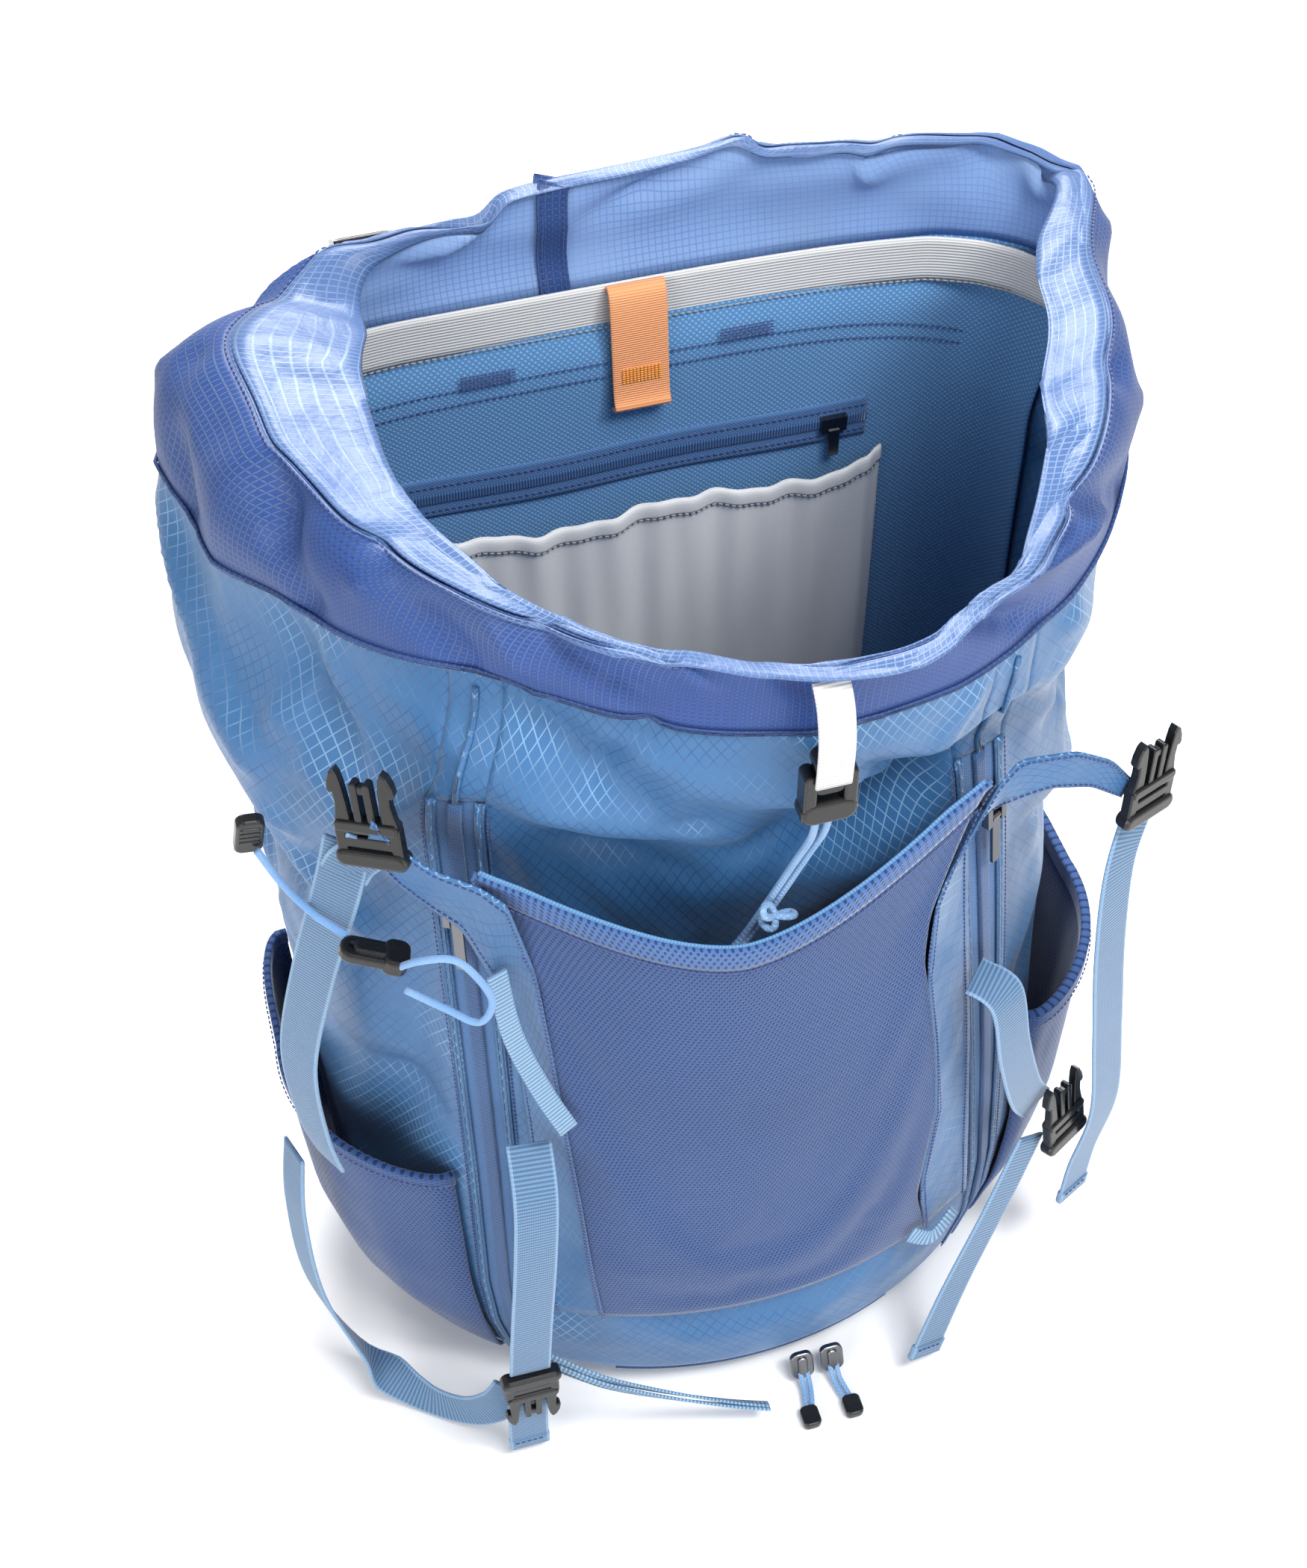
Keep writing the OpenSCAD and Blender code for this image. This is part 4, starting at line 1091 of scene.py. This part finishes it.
for name, first, last, slot, material, thick in (
        ("front_panel", "left+", "right-", "body_ripstop", BODY, 1.0),
        ("left_panel", 162, "left-", "body_ripstop", BODY, 1.0),
        ("right_panel", "right+", 18, "body_ripstop", BODY, 1.0),
        ("back_panel", 18, 162, "base_cloth", BASE, 2.0)):
    cloth(name + "_cloth", columns(first, last, 0, seam_row + 1), material, slot, name, thick=thick)


def inset(points, amount):
    """Points of the skin moved in towards the bag's middle."""
    return points - unit(np.asarray(points) * FLAT) * amount


def row_at(z):
    """The skin row nearest a height."""
    return nearest(skin_heights, z)


def around(rows):
    """Rows of points round the whole bag, with the first column repeated at the end."""
    rows = np.asarray(rows)
    return np.concatenate([rows, rows[:, :1]], axis=1)


base_rings = around([
    outline(np.arange(0, 360, 4), 0.0) * np.array([s, s, 1]) + np.array([10 * (1 - s), 0, h])
    for s, h in ((1, 0.6), (0.94, 0.4), (0.8, 0.5), (0.55, 0.5), (0.3, 0.5), (0.02, 0.5))])
cloth("base_cloth", base_rings[:, ::-1], BASE, "base_cloth", "base_panel", thick=1.5, offset=0)

# ---- Zips in the bag's sides ------------------------------------------------------------------


def side_zip(side, last_z):
    """Tape, coil, folded cloth edges and stitching of a side zip, and the cloth above it."""
    strip = columns(side + "-", side + "+")
    low, high = row_at(24), row_at(last_z)
    across = strip[:, -1] - strip[:, 0]
    out = unit(np.cross(across, np.gradient(strip[:, 2], axis=0)))
    zipped, above = slice(low, high + 1), slice(high, seam_row)
    tape = strip - out[:, None] * 0.8
    cloth(side + "_zip_tape", tape[zipped], ZIP_TAPE, "zip_tape", side + "_zip", thick=1.2)
    ribbon(side + "_zip_coil", strip[zipped, 2] + out[zipped] * 0.3, across[zipped], 5.6, 2.4,
           COIL, "zip_tape")
    for edge, name, turn in ((0, "back", 1), (-1, "front", -1)):
        line = strip[zipped, edge]
        inward = unit(across[zipped]) * turn
        ribbon(f"{side}_zip_{name}_fold", line + inward * 1.8 + out[zipped] * 0.5,
               across[zipped], 4.0, 1.4, BODY, "body_ripstop")
        dash_row(f"{side}_zip_{name}_stitches", line - inward * 1.6 + out[zipped] * 0.7,
                 DARK_THREAD)
    for name, rows in (("foot", slice(0, low + 1)), ("dart", slice(high, seam_row + 1))):
        cloth(f"{side}_zip_{name}", strip[rows], BODY, "body_ripstop", side + "_zip", thick=1.2)
    ribbon(side + "_dart_seam", strip[above, 2] + out[above] * 0.8, across[above], 2.4, 1.6,
           BODY, "body_ripstop")


side_zip("left", 462)
side_zip("right", 436)

low_row = columns("left+", "right-")[row_at(14)]
base_path = inset(low_row[(low_row[:, 0] > -62) & (low_row[:, 0] < 84)], -0.8)
tilt = (0, -0.5, 0.85)
ribbon("base_zip_tape", base_path, tilt, 13, 1.2, ZIP_TAPE, "zip_tape", "base_zip")
ribbon("base_zip_coil", inset(base_path, -1.0), tilt, 5.6, 2.0, COIL, "zip_tape")

# ---- Collar -----------------------------------------------------------------------------------


stitch_row = seam_row + STITCH_ROW
skirt = cloth("collar_skirt", around(skin[seam_row:stitch_row + 1]), SKIRT, "collar_ripstop",
              "collar", thick=0.7, inner=SKIRT_INSIDE_PAINTED_LIGHT)
hem_rows = [inset(row, -out) for row, out in zip(skin[stitch_row:], (0.6, 2.2, 3.0, 1.8, 0.0))]
hem_rows += [inset(row, depth)
             for row, depth in zip(skin[:stitch_row - 1:-1], (2.4, 4.6, 5.6, 4.6, 1.2))]
hem = cloth("collar_hem", around(hem_rows), HEM, "collar_ripstop", "collar", "hem_cord", thick=0.7)
for name, row, out in (("collar_seam_stitches", seam_row, 0.9),
                       ("collar_hem_stitches", stitch_row, 1.4)):
    dash_row(name, inset(around(skin[row:row + 1])[0], -out), DARK_THREAD)
ribbon("collar_seam_cord", inset(around(skin[seam_row:seam_row + 1])[0], -0.6), UP, 2.6, 1.4,
       SKIRT, "collar_ripstop")

# ---- Inside -----------------------------------------------------------------------------------


LINING_FRONT, FRAME_TOP = 97.3, 490


def front_face(grid, clearance=4.5):
    """Back lining: flat before the frame, near the wall beside it, leaning back above it."""
    grid = np.array(grid)
    flat = LINING_FRONT + 8 * smooth((grid[..., 2] - FRAME_TOP) / 28)
    grid[..., 0] *= 1 - clearance / HALF_WIDTH
    grid[..., 1] = np.minimum(grid[..., 1] - clearance, flat)
    return grid


lining = front_face(columns(18, 162, row_at(34), seam_row + 1))
cloth("back_lining", lining[:, ::-1], OXFORD, "lining_oxford", "inner_back_panel", thick=1.2)

zip_x = np.linspace(-120, 120, 49)
zip_grid = np.array([[(x, 96.3 + 0.5 * math.sin(x / 17), z + 0.8 * math.sin(x / 31)) for x in zip_x]
                     for z in (424, 428, 435, 442, 446)])
cloth("inner_zip_tape", zip_grid, ZIP_TAPE, "zip_tape", "inner_zip", thick=1.0, offset=0)
ribbon("inner_zip_coil", zip_grid[2] + np.array([0, -0.8, 0]), UP, 5.4, 1.5, COIL, "zip_tape")
for k in (1, 3):
    dash_row(f"inner_zip_stitches_{k}", zip_grid[k] + np.array([0, -1.0, 0]), DARK_THREAD)

SLEEVE_HALF = 128
sleeve_x = np.linspace(-SLEEVE_HALF, SLEEVE_HALF, 97)
sleeve_rows = []
for z in np.linspace(60, 415, 46):
    gather = smooth((z - 210) / 190)
    broad = 1.5 * np.sin(sleeve_x / 5.4 + 0.9 * np.sin(z / 37))
    fine = 0.9 * np.sin(sleeve_x / 2.9 + z / 90)
    y = 86.5 - 2.2 * np.cos(sleeve_x / SLEEVE_HALF * math.pi / 2) + gather * (broad + fine)
    y += 1.6 * np.sin(sleeve_x / 41 + z / 55) * np.sin(z / 71)
    y += 9.0 * smooth((np.abs(sleeve_x) - 119) / 9)
    drop = 3.2 * gather * np.sin(sleeve_x / 19)
    sleeve_rows.append(np.stack([sleeve_x, y, z + drop], -1))
sleeve = cloth("sleeve_front", sleeve_rows, SLEEVE, "sleeve_nylon", "hydration_sleeve", thick=0.8)
top_hem = [sleeve_rows[-1] + np.array(step) for step in ((0, -1.0, -9), (0, -1.6, -5), (0, -1.2, 0),
                                                         (0, 1.0, 0.6), (0, 1.2, -9))]
cloth("sleeve_hem", top_hem, SLEEVE, "sleeve_nylon", thick=0.8)
dash_row("sleeve_hem_stitches", sleeve_rows[-1] + np.array([0, -1.9, -8]), GREY_THREAD)


def mouth_tape(name, grid, below, above, depth):
    """Ribbed tape over the raw edge inside the mouth."""
    edge = grid * np.array([1 - depth / HALF_WIDTH, 1, 1])
    edge = edge - np.array([0, depth, 0]) * np.sign(grid[:, 1:2])
    rows = [edge + np.array([0, 0, z]) for z in (-below, -below * 0.5, 0, above)]
    return cloth(name, np.array(rows)[:, ::-1], GREY_TAPE, "grey_tape", "mouth_binding", thick=1.2)


back_tape = columns(18, 162)[seam_row]
mouth_tape("back_binding", back_tape, 17, 6, 9.0)
dash_row("back_binding_stitches",
         back_tape[4:-4] * np.array([0.95, 1, 1]) + np.array([0, -10.8, -15]), GREY_THREAD)
for k, sag in enumerate((30, 40)):
    line = lining[int(lining.shape[0] - sag / 7)][6:-6].copy()
    line[:, 2] -= 16 * (np.abs(line[:, 0]) / 160) ** 4
    dash_row(f"lining_stitches_{k}", line + np.array([0, -1.0, 0]), DARK_THREAD)
for x in (-52, 62):
    for k in range(5):
        tack = np.array([(x + 24 * i / 10 - 12, 95.6 + 0.3 * k, 494 + 1.3 * k) for i in range(11)])
        dash_row(f"lining_tack_{'left' if x < 0 else 'right'}_{k}", tack + np.array([0, -0.6, 0]),
                 DARK_THREAD, pitch=1.7, length=1.4)
tab_line = skin[seam_row - 1:, nearest(skin[-1, :COLUMN[162], 0], -16)]
for name, depth in (("outer", -2.0), ("inner", 2.6)):
    ribbon("collar_tape_" + name, inset(tab_line, depth), (1, 0, 0), 13, 1.4, SKIRT,
           "collar_ripstop")
for x, name in ((-4.5, "a"), (4.5, "b")):
    dash_row("collar_tape_stitches_" + name, inset(tab_line, 3.5) + np.array([x, 0, 0]),
             DARK_THREAD)
mouth_tape("front_binding", columns(162, "right-")[seam_row], 15, 1, 11.0)

TAB_ROUTE = [(14, 104.5, 524), (14, 101, 529), (14, 96, 522), (14, 92, 480), (14, 89, 472),
             (14, 94.6, 468)]
swept("orange_tab", TAB_ROUTE, tape_section(25, 1.4), ORANGE_TAPE, "orange_tape", "name_tab",
      steps=6)
for k in range(7):
    tack = np.array([(5 + 18 * i / 8, 91.7 - 0.1 * k, 491 - k * 1.1) for i in range(9)], float)
    dash_row(f"tab_tack_{k}", tack, AMBER_THREAD, pitch=1.6, length=1.3, d=0.6)

# ---- Pockets and wings ------------------------------------------------------------------------


def pocket_stand(z):
    return lookup(z, [(POCKET_LOW, 0.4), (140, 6), (POCKET_TOP, 20), (460, 24)])


def stretched(grid, cap, slack_share):
    """A grid held by its borders, with the folds its slack cloth takes."""
    hold = np.full(grid.shape[:2], 0.03)
    hold[0], hold[:, 0], hold[:, -1] = 1, 1, 1
    hold[-1] = 0.7
    return simulate(grid, hold, np.full(grid.shape[:2], slack_share), frames=18, cap=cap)


MESH_LEFT_AT = [(92, 245), (285, 243.5), (380, 243), (420, 240.5), (450, 237.5)]
MESH_RIGHT_AT = [(92, 298.5), (139, 294), (218, 294.5), (287, 291.5), (345, 288.5), (375, 288.5),
                 (413, 291), (450, 294)]
HEM_ROW = 41
across = np.linspace(0, 1, 49)
top = POCKET_TOP + 54 * np.abs(2 * across - 1) ** 1.6
pocket_grid = []
for s in np.linspace(0, 1, 44):
    z = mix(POCKET_LOW, top, s)
    angles = mix(lookup(z, MESH_LEFT_AT), lookup(z, MESH_RIGHT_AT), across)
    sag = (5 * np.sin(math.pi * across) * s ** 3
           + 1.6 * np.sin(math.pi * across * 2.3 + 0.5) * math.sin(math.pi * s))
    pocket_grid.append(outline(angles, z, pocket_stand(z) + 2 + sag))
pocket_grid = stretched(np.array(pocket_grid), 7, 0.4)
pocket = cloth("front_pocket_mesh", pocket_grid[:HEM_ROW + 1], MESH, "stretch_mesh", "front_pocket",
               thick=1.2)
cloth("front_pocket_hem", [inset(row, -0.6) for row in pocket_grid[HEM_ROW:]], COARSE_MESH,
      "stretch_mesh", thick=2.2)
ribbon("front_pocket_tape", inset(pocket_grid[-1], 1.5) - 2.0 * UP, UP, 7, 1.2, BLUE_TAPE,
       "grey_tape")
dash_row("front_pocket_stitches", inset(pocket_grid[HEM_ROW], -1.6), DARK_THREAD)
for k, name in ((0, "left"), (-1, "right")):
    dash_row(f"front_pocket_{name}_stitches", inset(pocket_grid[:, k], -2.2), DARK_THREAD)


def side_pocket(name, first, last, rim):
    levels = [14, 20, 32, 46, 60, 80, 100, 120, 140, 160, 178, SIDE_POCKET_TOP]
    t = np.linspace(0, 1, 41)
    grid = []
    for z in levels:
        share = lookup(z, [(14, 0), (60, 0.6), (100, 0.8), (SIDE_POCKET_TOP, 1)])
        grid.append(outline(mix(first, last, t), z, 3.2 + share * 16 * np.sin(math.pi * t) ** 0.5))
    grid = stretched(np.array(grid), 6, 0.5)
    mesh = cloth(name + "_mesh", grid, MESH, "stretch_mesh", name, thick=1.2)
    ribbon(name + "_rim", inset(grid[-1], 0.5), UP, rim, rim * 0.45, MESH, "stretch_mesh")
    dash_row(name + "_rim_stitches", inset(grid[-1], -rim * 0.26) - rim * 0.3 * UP, DARK_THREAD)


side_pocket("left_side_pocket", 166, 223, 8)
side_pocket("right_side_pocket", 322, 374, 11)


def wing(side, inner, outer):
    """A ruled cloth between two edges, from the bottom up."""
    rows = np.linspace(0, 1, 46)
    a, b = (between(rows, np.linspace(0, 1, len(edge)), np.array(edge, float))
            for edge in (inner, outer))
    grid = np.array([mix(a, b, t) for t in np.linspace(0, 1, 9)]).transpose(1, 0, 2)
    if side == "right":
        grid = grid[:, ::-1]
    grid = stretched(grid, 4, 0.5)
    cloth(side + "_wing_cloth", grid, BODY, "body_ripstop", side + "_wing", offset=0)
    for edge, beside, number in ((0, 2, 0), (-1, -3, 8)):
        dash_row(f"{side}_wing_stitches_{number}",
                 mix(grid[:, edge], grid[:, beside], 0.35) + np.array([0, -1.0, 0]), DARK_THREAD)


def on_bag(angle, z, out):
    return tuple(outline(angle, z, out).tolist())


left_zip_edge = [on_bag(236.6, z, 2.5) for z in (92, 140, 190, 250, 310, 340)]
left_mesh_edge, right_mesh_edge = pocket_grid[::7, 0].tolist(), pocket_grid[::7, -1].tolist()
wing("left", left_zip_edge + [(-109, -120, 378), (-118, -116, 408), (-129, -112, 421),
                              (-141, -111, 440), (-150, -108, 460)],
     left_mesh_edge[:-1] + [(-103, -134, 440), (-112, -128, 447), (-127, -120, 452),
                            (-139, -115, 464), (-147, -110, 478)])
right_zip_edge = [on_bag(a, z, 2.5) for a, z in ((309, 92), (306, 170), (303.4, 250), (300.5, 330),
                                                 (298.6, 398))]
wing("right", right_mesh_edge[:-1] + [(95, -134, 446), (106, -127, 450), (133, -123, 442),
                                      (152, -119, 426), (166, -115, 404)],
     right_zip_edge + [(104, -127, 425), (124, -124, 424), (143, -121, 415), (160, -117, 398)])

# ---- Padded parts of the harness --------------------------------------------------------------


def cushion(name, points, faces, body, node, voxel=5.0, cap=3):
    """A padded piece: a closed form, puffed by cloth simulation and held to a small change."""
    mesh = raw_mesh(name, points, faces)
    shell = bmesh.new()
    shell.from_mesh(mesh)
    bmesh.ops.recalc_face_normals(shell, faces=shell.faces)
    shell.to_mesh(mesh)
    shell.free()
    obj = add_object(name, mesh)
    remesh = obj.modifiers.new("remesh", "REMESH")
    remesh.mode = "VOXEL"
    remesh.voxel_size = voxel * MM
    even = obj.modifiers.new("even", "SMOOTH")
    even.factor = 0.5
    even.iterations = 5
    apply_modifiers(obj)
    rest = coordinates(obj.data)
    run_cloth(obj, 16, 0, quality=4, mass=0.2, tension_stiffness=12,
              compression_stiffness=12, bending_stiffness=0.6, use_pressure=True,
              uniform_pressure_force=3.5)
    apply_modifiers(obj)
    bpy.context.scene.frame_set(1)
    rest = rest + limited(coordinates(obj.data) - rest, cap * MM)
    obj.data.vertices.foreach_set("co", rest.ravel())
    set_uv(obj.data, rest[:, [0, 2]])
    obj.data.materials.append(PAD_MESH)
    obj.data.polygons.foreach_set("use_smooth", [True] * len(obj.data.polygons))
    rounder = obj.modifiers.new("round", "SUBSURF")
    rounder.levels = rounder.render_levels = 1
    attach(obj, body)
    finish_piece(obj, "back_mesh", node)


def strap_section(width, thick):
    w, t = width / 2, thick / 2
    return [(-w, -t / 3), (-w * 0.8, -t * 0.8), (-w * 0.4, -t), (w * 0.4, -t), (w * 0.8, -t * 0.8),
            (w, -t / 3), (w, t / 3), (w * 0.8, t * 0.8), (w * 0.4, t), (-w * 0.4, t),
            (-w * 0.8, t * 0.8), (-w, t / 3)]


def mirrored(route, side):
    return [(x * side, y, z) for x, y, z in route]


STRAP_ROUTE = [(44, 120, 436), (46, 132, 476), (54, 154, 486), (64, 172, 462), (68, 178, 430),
               (68, 178, 330), (76, 172, 290), (90, 158, 240), (106, 144, 204)]
LIFTER_ROUTE = [(104, 117, 500), (98, 126, 530), (92, 136, 536), (82, 158, 512), (74, 180, 480)]
STRAP_WEBBING_ROUTE = [(122, 129, 166), (133, 121, 143), (145, 112, 120)]

for side, name in ((-1, "left"), (1, "right")):
    route = mirrored(STRAP_ROUTE, side)
    points, faces, _ = sweep_mesh(curve(route, 8), strap_section(60, 11), (1, 0, 0))
    cushion("shoulder_pad_" + name, points, faces, "pack", "shoulder_strap_" + name, voxel=4.5,
            cap=2.5)
    swept("shoulder_binding_" + name, [(x, y + 8.4, z) for x, y, z in route[4:]],
          tape_section(20, 1.4), WEBBING, "webbing")
    for label, path, turn in (("lifter", LIFTER_ROUTE, 0), ("lower", STRAP_WEBBING_ROUTE, -0.4)):
        swept(f"{label}_webbing_{name}", mirrored(path, side), WEB, WEBBING, "webbing",
              "harness_webbing", first=(1, turn * side, 0))
    swept("sternum_webbing_" + name, [(x * side, 186.5, 380) for x in (19, 36, 53)],
          tape_section(15, 1.6), WEBBING, "webbing", "sternum_strap", first=(0, 0, 1),
          body="sternum")
    clip = plate("sternum_clip_" + name, [rounded_box(18, 24, 3), rounded_box(3.4, 16, 1, -4),
                                          rounded_box(3.4, 16, 1, 4)], 4, BLACK,
                 place(62 * side, 186.5, 380, 90), body="sternum")
    finish_piece(clip, "black_acetal", "sternum_strap")


def rounded_slab(width, height, thick, radius):
    """Points and faces of a plate in X and Z with round corners, domed over its thickness."""
    outline_points = rounded_box(width, height, radius, steps=6)
    points, count = [], len(outline_points)
    profile = [(1.0, -0.15), (0.985, -0.38), (0.93, -0.5), (0.5, -0.5), (0.05, -0.5)]
    profile += [(s, -y) for s, y in reversed(profile)]
    for s, y in profile:
        points += [(x * s if s < 0.9 else x - math.copysign((1 - s) * 40, x), y * thick,
                    z * s if s < 0.9 else z - math.copysign((1 - s) * 40, z))
                   for x, z in outline_points]
    faces = grid_faces(len(profile), count, True).tolist()
    last = count * (len(profile) - 1)
    faces += [list(range(count))[::-1], list(range(last, last + count))]
    return np.array(points, float), faces


FIN_TURN = math.radians(150)
for side, name, foot in ((-1, "left", 48), (1, "right", 50)):
    points, faces = rounded_slab(74, 340, 8.5, 16)
    cushion("back_pad_" + name, points + np.array([63 * side, 116.4, 252]), faces, "pack",
            "back_pads")
    points, faces = rounded_slab(113, 70, 10, 18)
    x, y, z = (points + np.array([57.5, 0, 0])).T
    fin = np.stack([(124 + x * math.cos(FIN_TURN) - y * math.sin(FIN_TURN)) * side,
                    124 + x * math.sin(FIN_TURN) + y * math.cos(FIN_TURN), 75 + z], -1)
    cushion("hip_pad_" + name, fin, faces, "hip_" + name, "hip_fin_" + name, voxel=4.5)
    points, faces = rounded_slab(24, 70, 5.4, 4)
    cushion("hip_anchor_" + name, points + np.array([124 * side, 115.2, 75]), faces, "pack",
            "belt_anchors", voxel=3, cap=1)
    route = [(22 * side, 188, 75), (19 * side, 188, 64), (18 * side, 187, foot)]
    swept("hip_belt_" + name, route, tape_section(25, 1.7), WEBBING, "webbing",
          "hip_webbing_" + name, body="hip_" + name)

# ---- Finishes of the CAD parts that show ------------------------------------------------------

FINISHES = [(SHEET_PLASTIC, ["frame_sheet"]), (STEEL, ["frame_wire"]),
            (BLACK, ["ladder_locks", "sternum_buckle", "hip_buckle_female", "hip_buckle_male"]),
            (METAL, ["left_zip_slider", "right_zip_slider", "left_zip_pull", "right_zip_pull",
                     "inner_zip_slider"])]
for material, nodes in FINISHES:
    for node in nodes:
        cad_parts[node].data.materials.clear()
        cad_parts[node].data.materials.append(material)

TAB_ROUTE_UP = [(13, -154, 553), (13, -161, 545), (13, -165, 530), (13, -164.6, 508)]
swept("cord_lock_tape", TAB_ROUTE_UP, tape_section(14, 1.5), GREY_TAPE, "grey_tape", "cord_lock_tab",
      steps=6)
